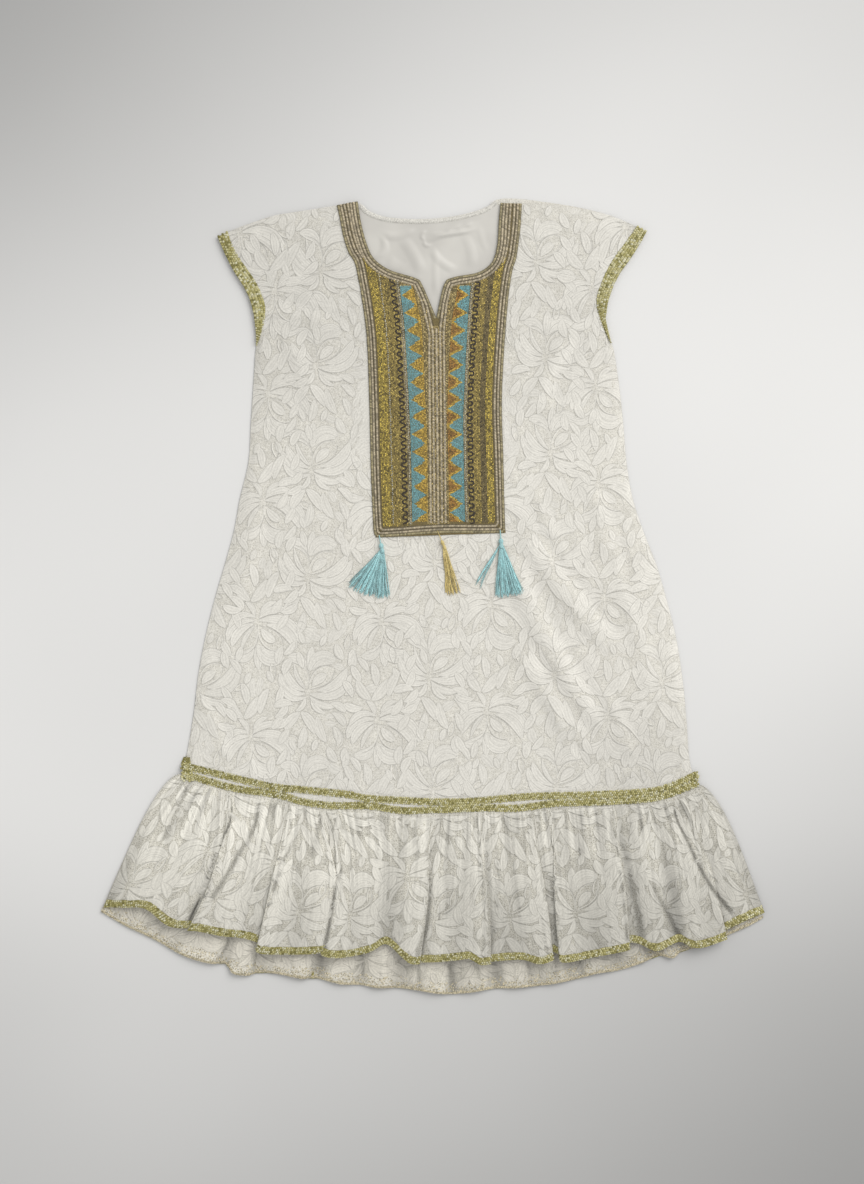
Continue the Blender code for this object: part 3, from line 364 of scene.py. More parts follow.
def troughs(rows, x, y):
    """Depth and painted shade, 0 to 1, of all the troughs of a table that run through points."""
    depth = np.zeros(x.shape)
    for first, last, dark, *points in rows:
        path = spline(np.array(points, float) * MM, 12)
        wide = np.linspace(first, last, len(path)) * MM
        fade = ease(np.linspace(0.0, 1.0, len(path)) / 0.25 + 0.3)
        near = ((x > path[:, 0].min() - 12 * MM) & (x < path[:, 0].max() + 12 * MM)
                & (y > path[:, 1].min() - 12 * MM) & (y < path[:, 1].max() + 12 * MM))
        away = np.hypot(x[near][:, None] - path[None, :, 0], y[near][:, None] - path[None, :, 1])
        own = dark * fade * (1.0 - np.clip(away / wide, 0.0, 1.0) ** 2) ** 2
        depth[near] = np.maximum(depth[near], own.max(1))
    return depth


first_middle = (FOLDS[0, 0:2] + FOLDS[0, 2:4]) / 2.0
print(f"the first fold is {ridges(FOLDS[:1], *first_middle) / MM:.1f} mm high half way along")

# %% [markdown]
# ## The shape of the front
#
# The front lies on the back, comes down to it at the side seams, and has its folds on top. Light
# falls on it unevenly. The photo's lamps aren't known, so part of that is a soft tone that the
# mesh carries, darker at the foot of a fold and towards the shoulders.

# %% Height and tone of the front
def front_folds(x, y):
    """Folds of the front and the slow unevenness of cloth that lies loose."""
    soft = 0.22 * MM * np.sin(x * 47.0 + 3.0 * np.sin(y * 21.0)) * np.sin(y * 39.0 + 1.0)
    return ridges(FOLDS, x, y) + ridges(SMALL_FOLDS, x, y) + soft


def fold_shade(x, y, reach=13.0 * MM):
    """Painted shade: a little darker at the foot of a fold and paler on its back."""
    around = sum(front_folds(x + dx, y + dy)
                 for dx, dy in ((reach, 0.0), (-reach, 0.0), (0.0, reach), (0.0, -reach))) / 4.0
    return np.clip(1.0 + 0.10 * (front_folds(x, y) - around) / MM, 0.80, 1.07)


def body_tone(x, y):
    """The slow fall of light over the front: darker to the shoulders and at the lower right."""
    up = ease((y - 0.11) / 0.30) * (0.1125 - 0.11 * x)
    low_right = 0.10 * ease((x - 0.12) / 0.15) * ease((-0.11 - y) / 0.10)
    low_left = 0.045 * ease((-0.10 - x) / 0.15) * ease((0.05 - y) / 0.10)
    return 1.0 - up - low_right + low_left


def front_height(x, y):
    """Top of the front: down on the back at the seams, over it elsewhere, with its folds."""
    from_side = np.minimum(x - left_x(y), right_x(y) - x)
    sleeve = ease((y - 300.0 * MM) / (26.0 * MM))
    waist = ease((seam_y(x) + 26.0 * MM - y) / (20.0 * MM))
    side = np.maximum(np.maximum(ease(from_side / SIDE_RISE), sleeve), waist)
    beside_neck = np.maximum(-118.0 * MM - x, x - 112.0 * MM) - 4.0 * MM
    shelter = 1.0 - ease(beside_neck / (32.0 * MM))
    shoulder = np.maximum(ease((front_top_y(x) - y) / (24.0 * MM)), shelter)
    rise = side * shoulder
    turned = 1.8 * MM * (1.0 - ease(from_side / (9.0 * MM)))
    return (mix(ON_BACK, FRONT_LEVEL, rise) + LINED_LACE - turned
            + rise * (1.0 - waist) * front_folds(x, y))


print(f"front is {front_height(0.0, 0.2) / MM:.1f} mm high at its middle")

# %% [markdown]
# ## Meshes from arrays
#
# A sheet of cloth is a grid of points, and a stitch is four small triangles. Operators and
# modifiers could build them one by one, which is slow for many thousands of stitches.
# foreach_set hands Blender a whole array at once, with the colour or shade of every point.

# %% Meshes from arrays
def build(name, points, faces, material, **layers):
    """One mesh object from arrays; each layer is a number or a colour for every point."""
    mesh = bpy.data.meshes.new(name)
    faces = np.asarray(faces, np.int32)
    mesh.vertices.add(len(points))
    mesh.vertices.foreach_set("co", np.asarray(points, np.float32).ravel())
    mesh.loops.add(faces.size)
    mesh.loops.foreach_set("vertex_index", faces.ravel())
    mesh.polygons.add(len(faces))
    starts = np.arange(0, faces.size, faces.shape[1], dtype=np.int32)
    mesh.polygons.foreach_set("loop_start", starts)
    for key, values in layers.items():
        values = np.asarray(values, np.float32)
        if key == "uv":
            mesh.uv_layers.new(name="UVMap").data.foreach_set("uv", values[faces.ravel()].ravel())
        elif values.ndim == 1:
            mesh.attributes.new(key, "FLOAT", "POINT").data.foreach_set("value", values)
        else:
            colour = np.concatenate([values, np.ones((len(values), 1), np.float32)], 1)
            layer = mesh.color_attributes.new(key, "FLOAT_COLOR", "POINT")
            layer.data.foreach_set("color", colour.ravel())
    mesh.update(calc_edges=True)
    mesh.validate()
    mesh.materials.append(material)
    mesh.shade_smooth()
    made = bpy.data.objects.new(name, mesh)
    bpy.context.scene.collection.objects.link(made)
    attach(made, "root")
    print(f"{name}: {len(faces) * (faces.shape[1] - 2)} triangles")
    return made


def grid_faces(rows, columns, keep=None):
    """Quads of a grid whose rows run down the dress, facing up."""
    index = np.arange(rows * columns).reshape(rows, columns)
    quads = np.stack([index[:-1, :-1], index[1:, :-1], index[1:, 1:], index[:-1, 1:]], -1)
    return (quads[keep] if keep is not None else quads.reshape(-1, 4)).reshape(-1, 4)


def sheet_mesh(name, points, material, keep=None, **layers):
    """A sheet from a grid of points."""
    rows, columns = points.shape[:2]
    layers = {key: np.asarray(v).reshape((rows * columns,) + np.asarray(v).shape[2:])
              for key, v in layers.items()}
    return build(name, points.reshape(-1, 3), grid_faces(rows, columns, keep), material, **layers)


# %% [markdown]
# ## Materials
#
# Corded lace is a fine net with petals worked on it in matt thread, the lining is satin, and the
# braids are of metal thread. Images of cloth could be laid on, but they blur near by and repeat.
# Here each finish is a few shader nodes: a pattern, its colours and a fine bump.

# %% Shader nodes
def new_material(name, **sockets):
    material = bpy.data.materials.new(name)
    material.use_nodes = True
    shader = material.node_tree.nodes["Principled BSDF"]
    for key, value in sockets.items():
        shader.inputs[key.replace("_", " ")].default_value = value
    return material, material.node_tree, shader


def put(tree, kind, settings=(), **inputs):
    """A shader node with its settings, values and links."""
    made = tree.nodes.new("ShaderNode" + kind)
    for key, value in dict(settings).items():
        setattr(made, key, value)
    for key, value in inputs.items():
        socket = made.inputs[int(key[1:])] if key[0] == "i" and key[1:].isdigit() \
            else made.inputs[key.replace("_", " ")]
        if isinstance(value, bpy.types.NodeSocket):
            tree.links.new(value, socket)
        else:
            socket.default_value = value
    return made


def bump(tree, shader, height, strength, distance):
    made = put(tree, "Bump", Height=height, Strength=strength, Distance=distance)
    tree.links.new(made.outputs["Normal"], shader.inputs["Normal"])


def ramp(tree, value, *stops):
    made = put(tree, "ValToRGB", Fac=value)
    ends = made.color_ramp.elements
    while len(ends) < len(stops):
        ends.new(0.5)
    for end, (place, colour) in zip(ends, stops):
        end.position = place
        end.color = (*colour, 1.0)
    return made.outputs["Color"]


def attribute(tree, name, output="Fac"):
    """A value or a colour that the mesh brings along."""
    return put(tree, "Attribute", {"attribute_name": name}).outputs[output]


def product(tree, first, second):
    return put(tree, "Math", {"operation": "MULTIPLY"}, i0=first, i1=second).outputs[0]


def remap(tree, value, from_min, from_max, to_min, to_max, settings=()):
    """A value moved from one range to another."""
    return put(tree, "MapRange", settings, Value=value, From_Min=from_min, From_Max=from_max,
               To_Min=to_min, To_Max=to_max).outputs[0]


def noise(tree, vector, scale, detail=2.0):
    return put(tree, "TexNoise", Vector=vector, Scale=scale, Detail=detail).outputs["Fac"]


def paint(tree, shader, colour, tone):
    """The shader's colour is a colour times a tone."""
    shaded = put(tree, "VectorMath", {"operation": "SCALE"}, Vector=colour, Scale=tone)
    tree.links.new(shaded.outputs["Vector"], shader.inputs["Base Color"])


# %% [markdown]
# ## Lace, thread and satin
#
# The net's gaps are 2 mm wide, too many to cut out, so a cell pattern draws pale threads round
# darker gaps. The petals have rows of thread along them. Next to the waist both get fine dark
# lines of painted shade, where the smallest gathers fold. Threads take their colour from the
# mesh, stitch by stitch, so that one material serves all the colours of the bib.

# %% Lace, thread and satin
NET_CELL = 2.3 * MM
FINE = 420.0


def painted_gather_shade(tree, tone):
    """Painted shade of the smallest gathers: fine dark lines, strongest next to the waist."""
    across, down = attribute(tree, "across"), attribute(tree, "down")
    place = put(tree, "CombineXYZ", X=across, Y=product(tree, down, 0.035)).outputs[0]
    line = remap(tree, noise(tree, place, 210.0), 0.32, 0.58, -0.34, 0.04)
    fade = remap(tree, down, 0.0, 0.13, 1.0, 0.28)
    dark = put(tree, "Math", {"operation": "MULTIPLY_ADD"}, i0=line, i1=fade, i2=1.0)
    return product(tree, tone, dark.outputs[0])


def lace_tone(tree, amounts):
    """The mesh's painted shade times noises, each with its scale, lowest and highest tone."""
    tone = attribute(tree, "shade")
    place = put(tree, "TexCoord").outputs["Object"]
    for scale, low, high in amounts:
        tone = product(tree, tone, remap(tree, noise(tree, place, scale), 0.32, 0.68, low, high))
    return tone, place


def net_material(name, thread, gap, gathered=False):
    """A fine net: pale threads round small darker gaps."""
    material, tree, shader = new_material(name, Roughness=0.85)
    clouds = (38.0, 0.85, 1.08) if gathered else (60.0, 0.94, 1.05)
    tone, place = lace_tone(tree, (clouds, (FINE, 0.88, 1.10)))
    tone = painted_gather_shade(tree, tone) if gathered else tone
    cells = put(tree, "TexVoronoi", {"feature": "DISTANCE_TO_EDGE"}, Vector=place,
                Scale=1.0 / NET_CELL)
    paint(tree, shader, ramp(tree, cells.outputs["Distance"], (0.05, thread), (0.28, gap)), tone)
    bump(tree, shader, cells.outputs["Distance"], 0.5, 0.0008)
    return material


def petal_material(name, colour, gathered=False):
    """Matt thread worked in rows along a petal."""
    material, tree, shader = new_material(name, Roughness=0.7, Sheen_Weight=0.15)
    tone, _ = lace_tone(tree, ((45.0, 0.97, 1.03), (FINE, 0.92, 1.05), (1000.0, 0.93, 1.05)))
    tone = painted_gather_shade(tree, tone) if gathered else tone
    rows = put(tree, "TexWave", {"wave_type": "BANDS", "bands_direction": "Y"},
               Vector=put(tree, "UVMap").outputs["UV"], Scale=0.085, Distortion=0.9, Detail=1.0)
    line = remap(tree, rows.outputs["Fac"], 0.0, 1.0, 0.92, 1.02)
    paint(tree, shader, colour, product(tree, tone, line))
    bump(tree, shader, rows.outputs["Fac"], 0.3, 0.0003)
    return material


def thread_material(name, roughness, metallic=0.0, sheen=0.0):
    """Thread whose colour is in the mesh, with a fine uneven twist."""
    material, tree, shader = new_material(name, Roughness=roughness, Metallic=metallic,
                                          Sheen_Weight=sheen)
    tint = attribute(tree, "tint", "Color")
    fibre = noise(tree, put(tree, "TexCoord").outputs["Object"], 800.0)
    paint(tree, shader, tint, remap(tree, fibre, 0.3, 0.7, 0.7, 1.3))
    bump(tree, shader, fibre, 0.4, 0.0004)
    return material


def satin_material(name):
    """Satin: a fine weave much longer one way, and slow pale clouds."""
    material, tree, shader = new_material(name, Roughness=0.42, Sheen_Weight=0.1)
    place = put(tree, "TexCoord").outputs["Object"]
    stretched = put(tree, "Mapping", Vector=place, Scale=(900.0, 120.0, 1.0))
    weave = noise(tree, stretched.outputs["Vector"], 1.0, 3.0)
    colour = ramp(tree, noise(tree, place, 18.0), (0.35, (0.555, 0.54, 0.505)),
                  (0.65, (0.62, 0.605, 0.565)))
    tree.links.new(colour, shader.inputs["Base Color"])
    bump(tree, shader, weave, 0.15, 0.0002)
    return material


body_net = net_material("body_net", (0.76, 0.74, 0.68), (0.61, 0.59, 0.525))
# The flounce's gaps are darker: painted shade of the layer seen through the unlined net
flounce_net = net_material("flounce_net", (0.69, 0.67, 0.60), (0.44, 0.42, 0.355), True)
inner_net = net_material("inner_net", (0.77, 0.74, 0.65), (0.62, 0.59, 0.51), True)
body_petal = petal_material("body_petal", (0.80, 0.78, 0.72))
flounce_petal = petal_material("flounce_petal", (0.75, 0.73, 0.66), True)
inner_petal = petal_material("inner_petal", (0.78, 0.745, 0.655), True)
satin = satin_material("satin")
metal_thread = thread_material("metal_thread", 0.38, metallic=0.2)
silk_thread = thread_material("silk_thread", 0.5, sheen=0.2)
print("materials:", [material.name for material in bpy.data.materials])

# %% [markdown]
# ## The body
#
# The body is two pieces of lace, front and back, sewn together at the shoulders and sides. Cloth
# like this is often draped with a cloth simulation. Laid flat it hardly drapes, so a grid between
# the outlines, lifted by the folds' height, gives the same picture and can be steered.

# %% Body sheets
SHEET_EDGE = 0.9 * MM
NECK_TURN = 6.0 * MM
SLIT_TOP = 360.0 * MM


def body_grid(top_y, columns, rows):
    """A grid over the body between the shoulders and the waist seam."""
    s = np.linspace(0.0, 1.0, columns + 1)[None, :]
    t = np.linspace(0.0, 1.0, rows + 1)[:, None]
    top = top_y(mix(-279.0, 278.0, s) * MM)
    foot = seam_y(mix(-324.0, 342.0, s) * MM)
    y = mix(top, foot, t)
    return mix(left_x(y), right_x(y), s), y


def neck_open(x, y, reach):
    """Inside the front's neck, widened by reach."""
    left, right = x_of(left_neck)(y) - reach, x_of(right_neck)(y) + reach
    return (y > SLIT_TOP) & (x > left) & (x < right)


x, y = body_grid(front_top_y, 160, 190)
z = front_height(x, y)
z[:, 0] = z[:, -1] = SHEET_EDGE
middle_x = (x[1:, 1:] + x[:-1, :-1]) / 2.0
middle_y = (y[1:, 1:] + y[:-1, :-1]) / 2.0
front_lace = sheet_mesh("front_lace", np.stack([x, y, z], -1), body_net,
                        keep=~neck_open(middle_x, middle_y, NECK_TURN),
                        shade=fold_shade(x, y) * body_tone(x, y))

x, y = body_grid(back_top_y, 60, 80)
cuff = np.maximum(left_braid_x(y) - x, x - right_braid_x(y)) / (3.0 * MM) + 1.0
z = 0.6 * MM + OVER_BRAID * ease(cuff) * (y > 330.0 * MM)
z = z + OVER_BRAID * ease((seam_y(x) + 30.0 * MM - y) / (8.0 * MM))
back_lace = sheet_mesh("back_lace", np.stack([x, y, z], -1), body_net, shade=np.ones(x.shape))

# %% [markdown]
# ## The lining in the neck
#
# Through the neck one looks on the white satin that lines the back. It is drawn up to the back
# neck in small pointed creases. They are ridges on a fine grid of its own, since the big lace
# sheets would need far too many points to show them.

# %% Neck lining
WIDER = np.array([1.0, 1.0, 1.0, 1.0, 1.0, 1.3, 1.0])
s = np.linspace(0.0, 1.0, 121)[None, :]
t = np.linspace(0.0, 1.0, 111)[:, None]
top_x = mix(-118.0, 112.0, s) * MM
top = np.minimum(back_top_y(top_x), front_top_y(top_x)) - 2.0 * MM
x = mix(top_x, mix(-58.0, 66.0, s) * MM, t)
y = mix(top, 338.0 * MM, t)
off = ((x + 3.0 * MM) / (82.0 * MM)) ** 2 + ((y - 450.0 * MM) / (62.0 * MM)) ** 2
crease = ridges(CREASES * WIDER, x, y) * ease(2.2 * (1.0 - off))
z = ON_BACK + 1.0 * MM + crease * ease((back_top_y(x) - 9.5 * MM - y) / (6.0 * MM))
neck_lining = sheet_mesh("neck_lining", np.stack([x, y, z], -1), satin)

# %% [markdown]
# ## Lace petals
#
# On the real lace each petal is outlined with a cord and filled with rows of thread, and stands
# a fraction of a millimetre over the net. A bump texture would look right from above only, and
# would be gone in the exported shape. So every petal is a small mesh. One flower with its leaves
# is a table: each petal runs from a root to a tip and bends to the left of its own way. An OPEN
# petal shows only its cord, round the net.

# %% The flower
OPEN, LEAF, ROUND, GROUND = range(4)
FLOWER = (
    # root x, root y, tip x, tip y, bend, half width, kind
    (0, 28, 3, 58, 0, 5, ROUND), (-4, 29, -28, 43, -6, 7, ROUND), (1, 27, 34, 42, 10, 9.5, ROUND),
    (5, 28, 31, 38, 6, 4.5, ROUND), (3, -3, 55, 24, -13, 7.5, ROUND),
    (-3, -3, -37, 22, 10, 6, ROUND), (12, 2, 49, 32, -8, 6.5, ROUND),
    (-4, 1, -31, 29, 6, 5.5, ROUND), (-1, 3, -19, 38, -3, 8, OPEN), (-3, 4, -19, 33, 3, 3, LEAF),
    (2, 4, 32, 31, 2, 11.5, OPEN), (6, 7, 23, 23, 2, 6, ROUND), (-1, -7, -35, 6, 9, 4.4, ROUND),
    (3, -6, 37, -17, -5, 4.6, ROUND), (5, -9, 24, -27, -4, 3.6, LEAF),
    (-3, -9, -14, -26, 3, 3.6, LEAF), (-7, -27, 12, -54, 3, 6.8, LEAF),
    (-9, -28, -26, -52, -3, 6.5, LEAF), (14, -32, 27, -64, -3, 6, LEAF),
    (-2, -46, -8, -74, 2, 5.5, LEAF), (-22, -50, -34, -70, 0, 5, LEAF),
    (30, -14, 50, -24, 3, 5.2, ROUND), (33, -26, 50, -42, 3, 5.2, ROUND),
    (36, -44, 44, -66, 2, 5, LEAF), (-18, -18, -42, -22, -4, 5.5, ROUND),
    (-32, -30, -44, -50, 2, 5.2, ROUND), (-40, 34, -36, 56, 2, 5.5, LEAF),
    (-33, 46, -20, 64, -2, 4.5, LEAF), (-44, 14, -48, 34, 0, 4, OPEN),
    (44, 44, 34, 64, 2, 5.5, LEAF), (52, 36, 58, 56, 0, 4.5, LEAF), (48, -2, 62, 6, 0, 4, OPEN),
    (14, 60, 20, 74, 0, 4, LEAF), (-8, 62, -14, 76, 0, 4, LEAF))
GROUND_PETALS = (((0, -9, 0, 9, 2, 5.6, GROUND),), ((0, -8, 2, 8, -1, 4.6, GROUND),
                                                    (-7, -6, -8, 7, 1, 3.6, GROUND)))
CORD = 1.4
STATIONS = {OPEN: 9, LEAF: 6, ROUND: 9, GROUND: 5}
# Across each petal: edge, cord, inside, middle, inside, cord, edge
LEVELS = {OPEN: (0.13, 0.22, -0.5, -0.6, -0.5, 0.22, 0.13),
          LEAF: (0.11, 0.18, 0.15, 0.12, 0.15, 0.18, 0.11),
          ROUND: (0.13, 0.22, 0.13, 0.17, 0.13, 0.22, 0.13),
          GROUND: (0.05, 0.12, 0.10, 0.08, 0.10, 0.12, 0.05)}
# Shades across each petal: dark edges are painted shadow by the cord, cords a painted highlight
SHADES = {OPEN: (0.63, 1.03, 0.92, 0.92, 0.92, 1.03, 0.63),
          LEAF: (0.69, 1.01, 0.99, 0.95, 0.99, 1.01, 0.69),
          ROUND: (0.63, 1.03, 0.97, 1.00, 0.97, 1.03, 0.63),
          GROUND: (0.85, 0.99, 0.97, 0.95, 0.97, 0.99, 0.85)}
ACROSS = 7
CORD_MIDDLE, EDGE = 0.8, 0.5
print(f"{len(FLOWER)} petals and leaves to a flower")


def petal_points(root_x, root_y, tip_x, tip_y, bend, half, kind):
    """Flat points of a petal in millimetres, with its heights, shades and thread places."""
    t = np.linspace(0.0, 1.0, STATIONS[kind])
    length = math.hypot(tip_x - root_x, tip_y - root_y)
    way = np.array([tip_x - root_x, tip_y - root_y]) / length
    side = np.array([-way[1], way[0]])
    spine = (np.array([root_x, root_y]) + np.outer(t * length, way)
             + np.outer(bend * 4.0 * t * (1.0 - t), side))
    turn = np.gradient(spine, axis=0)
    turn /= np.hypot(turn[:, 0], turn[:, 1])[:, None]
    side = np.stack([-turn[:, 1], turn[:, 0]], -1)
    place = np.clip(t, 0.02, 0.985)
    wide = half * (np.sin(np.pi * place) ** 0.52 if kind in (LEAF, GROUND)
                   else np.sin(np.pi * place ** 1.3) ** 0.5)
    inner = np.maximum(wide - CORD - CORD_MIDDLE, 0.25 * wide)
    cord = np.maximum(wide - CORD_MIDDLE, 0.5 * wide)
    reach = np.stack([-wide - EDGE, -cord, -inner, 0.0 * wide, inner, cord, wide + EDGE], 1)
    points = spine[:, None, :] + side[:, None, :] * reach[:, :, None]
    level = np.array(LEVELS[kind])
    height = level * np.where(level > 0.0, 0.5 + 0.5 * np.sqrt(wide / half)[:, None], 1.0)
    thread = np.stack(np.broadcast_arrays((t * length)[:, None],
                                          half * reach / np.maximum(wide, 0.3)[:, None]), -1)
    shade = np.broadcast_to(SHADES[kind], reach.shape)
    return points, height, shade, thread, kind


# %% [markdown]
# ## Laying the petals
#
# Flowers stand in columns, upright and upside down by turns, and small petals fill the ground
# between them. Geometry nodes or a particle system could scatter them. A loop over the places is
# easier to hold to a pattern, and it trims the petals at the braids, the neck and the bib.

# %% Laying petals
PETAL_STEP = 0.013
FLOWER_STEP = 0.01


def lay_petals(shapes, places, inside, clip):
    """All the petals at their places in flat cloth: points, heights, shades, threads, faces."""
    petals = [petal_points(*row) for row in shapes]
    found = [[], [], [], [], []]
    count = 0
    for order, (cx, cy, upright, turn, scale) in enumerate(places):
        flip = 1.0 if upright else -1.0
        cos, sin = math.cos(turn), math.sin(turn)
        for number, (points, height, shade, thread, kind) in enumerate(petals):
            flat = points.reshape(-1, 2) * np.array([1.0, flip]) * scale * MM
            px = cx + flat[:, 0] * cos - flat[:, 1] * sin
            py = cy + flat[:, 0] * sin + flat[:, 1] * cos
            keep = inside(px, py)
            if not keep.any():
                continue
            base = grid_faces(STATIONS[kind], ACROSS)[:, [0, 3, 2, 1]]
            faces = base if upright else base[:, ::-1]
            faces = faces[keep[faces].any(1)]
            px, py = clip(px, py)
            # Each petal lies a little over the one before it, so that none fight for a level
            lift = (height + PETAL_STEP * min(number, 16) + FLOWER_STEP * (order % 3)).ravel() * MM
            found[0].append(np.stack([px, py], -1))
            found[1].append(np.where(keep, lift, np.minimum(lift, 0.1 * MM)))
            found[2].append(shade.ravel())
            found[3].append(thread.reshape(-1, 2) + order * 7.3)
            found[4].append(faces + count)
            count += len(px)
    return drop_unused(*[np.concatenate(part) for part in found])


def drop_unused(*layers):
    """Leave out the points that no face uses; the faces come last."""
    *layers, faces = layers
    used = np.unique(faces)
    place = np.zeros(len(layers[0]), np.int64)
    place[used] = np.arange(len(used))
    return (*(layer[used] for layer in layers), place[faces])


CELL = 3.0 * MM
GROUND_PITCH = 8.5 * MM


def ground_places(covered_points, low, high, inside, windows, own):
    """Places for small petals wherever no flower lies, but for some open windows of net."""
    size = ((np.array(high) - low) / CELL).astype(int) + 3
    covered = np.zeros(size, bool)
    cells = ((covered_points - low) / CELL).astype(int)
    for dx in (-1, 0, 1):
        for dy in (-1, 0, 1):
            covered[np.clip(cells[:, 0] + dx, 0, size[0] - 1),
                    np.clip(cells[:, 1] + dy, 0, size[1] - 1)] = True
    x, y = np.meshgrid(np.arange(low[0], high[0], GROUND_PITCH),
                       np.arange(low[1], high[1], GROUND_PITCH))
    x = x.ravel() + own.uniform(-0.3, 0.3, x.size) * GROUND_PITCH
    y = y.ravel() + own.uniform(-0.3, 0.3, y.size) * GROUND_PITCH
    cells = ((np.stack([x, y], -1) - low) / CELL).astype(int)
    free = ~covered[np.clip(cells[:, 0], 0, size[0] - 1), np.clip(cells[:, 1], 0, size[1] - 1)]
    free &= inside(x, y) & (own.random(x.size) > windows)
    x, y = x[free], y[free]
    turn = 2.2 * np.sin(x / 0.045) + 1.7 * np.cos(y / 0.038) + own.uniform(-0.5, 0.5, x.size)
    scale = own.uniform(0.75, 1.2, x.size)
    return [(*row[:2], True, *row[2:]) for row in zip(x, y, turn, scale)]


def whole_lace(flowers, low, high, inside, clip, windows, seed):
    """Flowers, and a ground of small petals between and under them."""
    own = np.random.default_rng(seed)
    laid = lay_petals(FLOWER, flowers, inside, clip)
    places = ground_places(laid[0], low, high, inside, windows, own)
    print(f"{len(flowers)} flowers and {len(places)} groups of small petals")
    parts = [laid] + [lay_petals(shapes, places[k::2], inside, clip)
                      for k, shapes in enumerate(GROUND_PETALS)]
    starts = np.cumsum([0] + [len(part[0]) for part in parts[:-1]])
    return (*(np.concatenate(group) for group in list(zip(*parts))[:-1]),
            np.concatenate([part[-1] + start for part, start in zip(parts, starts)]))


# %% [markdown]
# ## Petals on the front
#
# The places of the flowers were measured from the photo, in millimetres. An even array would be
# quicker, but real lace is cut wherever the pattern piece falls on it, and its columns aren't
# quite straight, so a list of places looks more like cloth.

# %% Petals on the front
UPRIGHT = table(
    (-145, 425), (-151.5, 301), (-157, 167), (-162, 26), (-162, -123), (-166, -262), (3, 45),
    (-5, -103), (0, -250), (135, 435), (146, 312), (153, 188), (155, 48), (158, -100),
    (160, -246), (298, -110), (300, 30), (-305, -120), (-300, 26), (290, -255))
INVERTED = table(
    (-205, 395), (-214, 262), (-220, 122), (-228, -34), (-236, -184), (-66, -34), (-72, -162),
    (75, -11), (70, -150), (207, 398), (211, 271), (215, 145), (222, -2), (227, -156),
    (-250, 470), (250, 480), (-70, 110), (80, 120), (-84, -290), (66, -290), (230, -300))
# How far petals reach under the cuff braids and the bib, and the bib's lower edge
CUFF_SHARE = 2.0 * MM
BIB_SHARE = 3.0 * MM
BIB_FOOT = 84.0 * MM
outline_x = {"left": x_of(bib_left), "right": x_of(bib_right)}


def on_front(x, y):
    """Where petals show: not under the braids, the bib or in the neck."""
    cuffs = (y > 318.0 * MM) & ((x < left_braid_x(y) + CUFF_SHARE)
                                | (x > right_braid_x(y) - CUFF_SHARE))
    under_bib = ((x > outline_x["left"](y) + BIB_SHARE) & (x < outline_x["right"](y) - BIB_SHARE)
                 & (y > BIB_FOOT))
    return ((x > left_x(y)) & (x < right_x(y)) & (y > upper_y(x) + 5.6 * MM)
            & (y < front_top_y(x)) & ~cuffs & ~under_bib)


def clip_front(x, y):
    y = np.clip(y, upper_y(x) + 5.2 * MM, front_top_y(x))
    return np.clip(x, left_x(y) + 0.2 * MM, right_x(y) - 0.2 * MM), y


def flower_places(upright, inverted):
    """Places with a small turn and a scale of their own for each flower."""
    places = [(x, y, True, *jitter) for (x, y), jitter in zip(upright, jitters(len(upright)))]
    return places + [(x, y, False, *jitter)
                     for (x, y), jitter in zip(inverted, jitters(len(inverted)))]


def jitters(count):
    return list(zip(rng.uniform(-0.07, 0.07, count), rng.uniform(0.97, 1.06, count)))


flat, lift, shade, thread, faces = whole_lace(
    flower_places(UPRIGHT, INVERTED), np.array([-345.0, -280.0]) * MM,
    np.array([360.0, 520.0]) * MM, on_front, clip_front, 0.22, 21)
height = front_height(flat[:, 0], flat[:, 1]) + lift
front_petals = build("front_petals", np.column_stack([flat, height]), faces, body_petal,
                     shade=shade * fold_shade(*flat.T) * body_tone(*flat.T), uv=thread)

# %% [markdown]
# ## The flounce
#
# Front and back are gathered at the waist. Where a pleat falls over, its edge is a true fold: the
# cloth runs under the edge, turns back and comes out again on top. A height over a flat grid
# can't do that. So each steep step of the pleat table gets two more points, one moved under the
# edge and one over it, and the smooth line through them folds by itself.

# %% Folds and gathers
STEEP, CLOSE = 3.0 * MM, 14.0 * MM
TUCK, OVERHANG, DROOP = 6.0 * MM, 1.8 * MM, 0.16
TROUGH_DEPTH = 1.6 * MM


def with_folds(rows):
    """Control rows with two more in each steep step; the last column is a sideways move."""
    made = []
    for here, after in zip(rows[:-1], rows[1:]):
        made.append((*here, 0.0))
        rise, gap = after[3] - here[3], after[1] - here[1]
        if abs(rise) < STEEP or gap > CLOSE:
            continue
        up = rise > 0.0
        first, second = mix(here, after, 1.0 / 3.0), mix(here, after, 2.0 / 3.0)
        first[3], second[3] = (here[3] + 0.1 * abs(rise), after[3] - DROOP * abs(rise)) if up \
            else (here[3] - DROOP * abs(rise), after[3] + 0.1 * abs(rise))
        right = after[1] + (TUCK if up else OVERHANG) - first[1]
        left = here[1] - (OVERHANG if up else TUCK) - second[1]
        made += [(*first, right), (*second, left)]
    made.append((*rows[-1], 0.0))
    return np.array(made)


def gathers(top_x, distance, count, seed):
    """Small uneven ridges that start in the waist seam and die out below it."""
    own = np.random.default_rng(seed)
    height = np.zeros(np.broadcast(top_x, distance).shape)
    for place in np.linspace(-322.0, 338.0, count) * MM:
        centre = place + own.uniform(-3.0, 3.0) * MM
        width = own.uniform(2.4, 5.0) * MM
        tall = own.uniform(0.7, 2.3) * MM
        length = own.uniform(25.0, 105.0) * MM
        lean = own.uniform(-0.04, 0.04)
        across = (top_x - centre - lean * distance) / (width * (1.0 + distance / (160.0 * MM)))
        fade = ease(distance / (5.0 * MM)) * (1.0 - ease(distance / length))
        height = height + tall * fade * (1.0 - np.clip(across ** 2, 0.0, 1.0)) ** 2
    return height


def sides(share, width):
    """1 in the middle of the sheet and 0 at its two side edges."""
    return ease(share / width) * ease((1.0 - share) / width)


front_control = with_folds(PLEATS)
print(f"{len(PLEATS)} rows of the pleat table, {len(front_control)} with those of the folds")

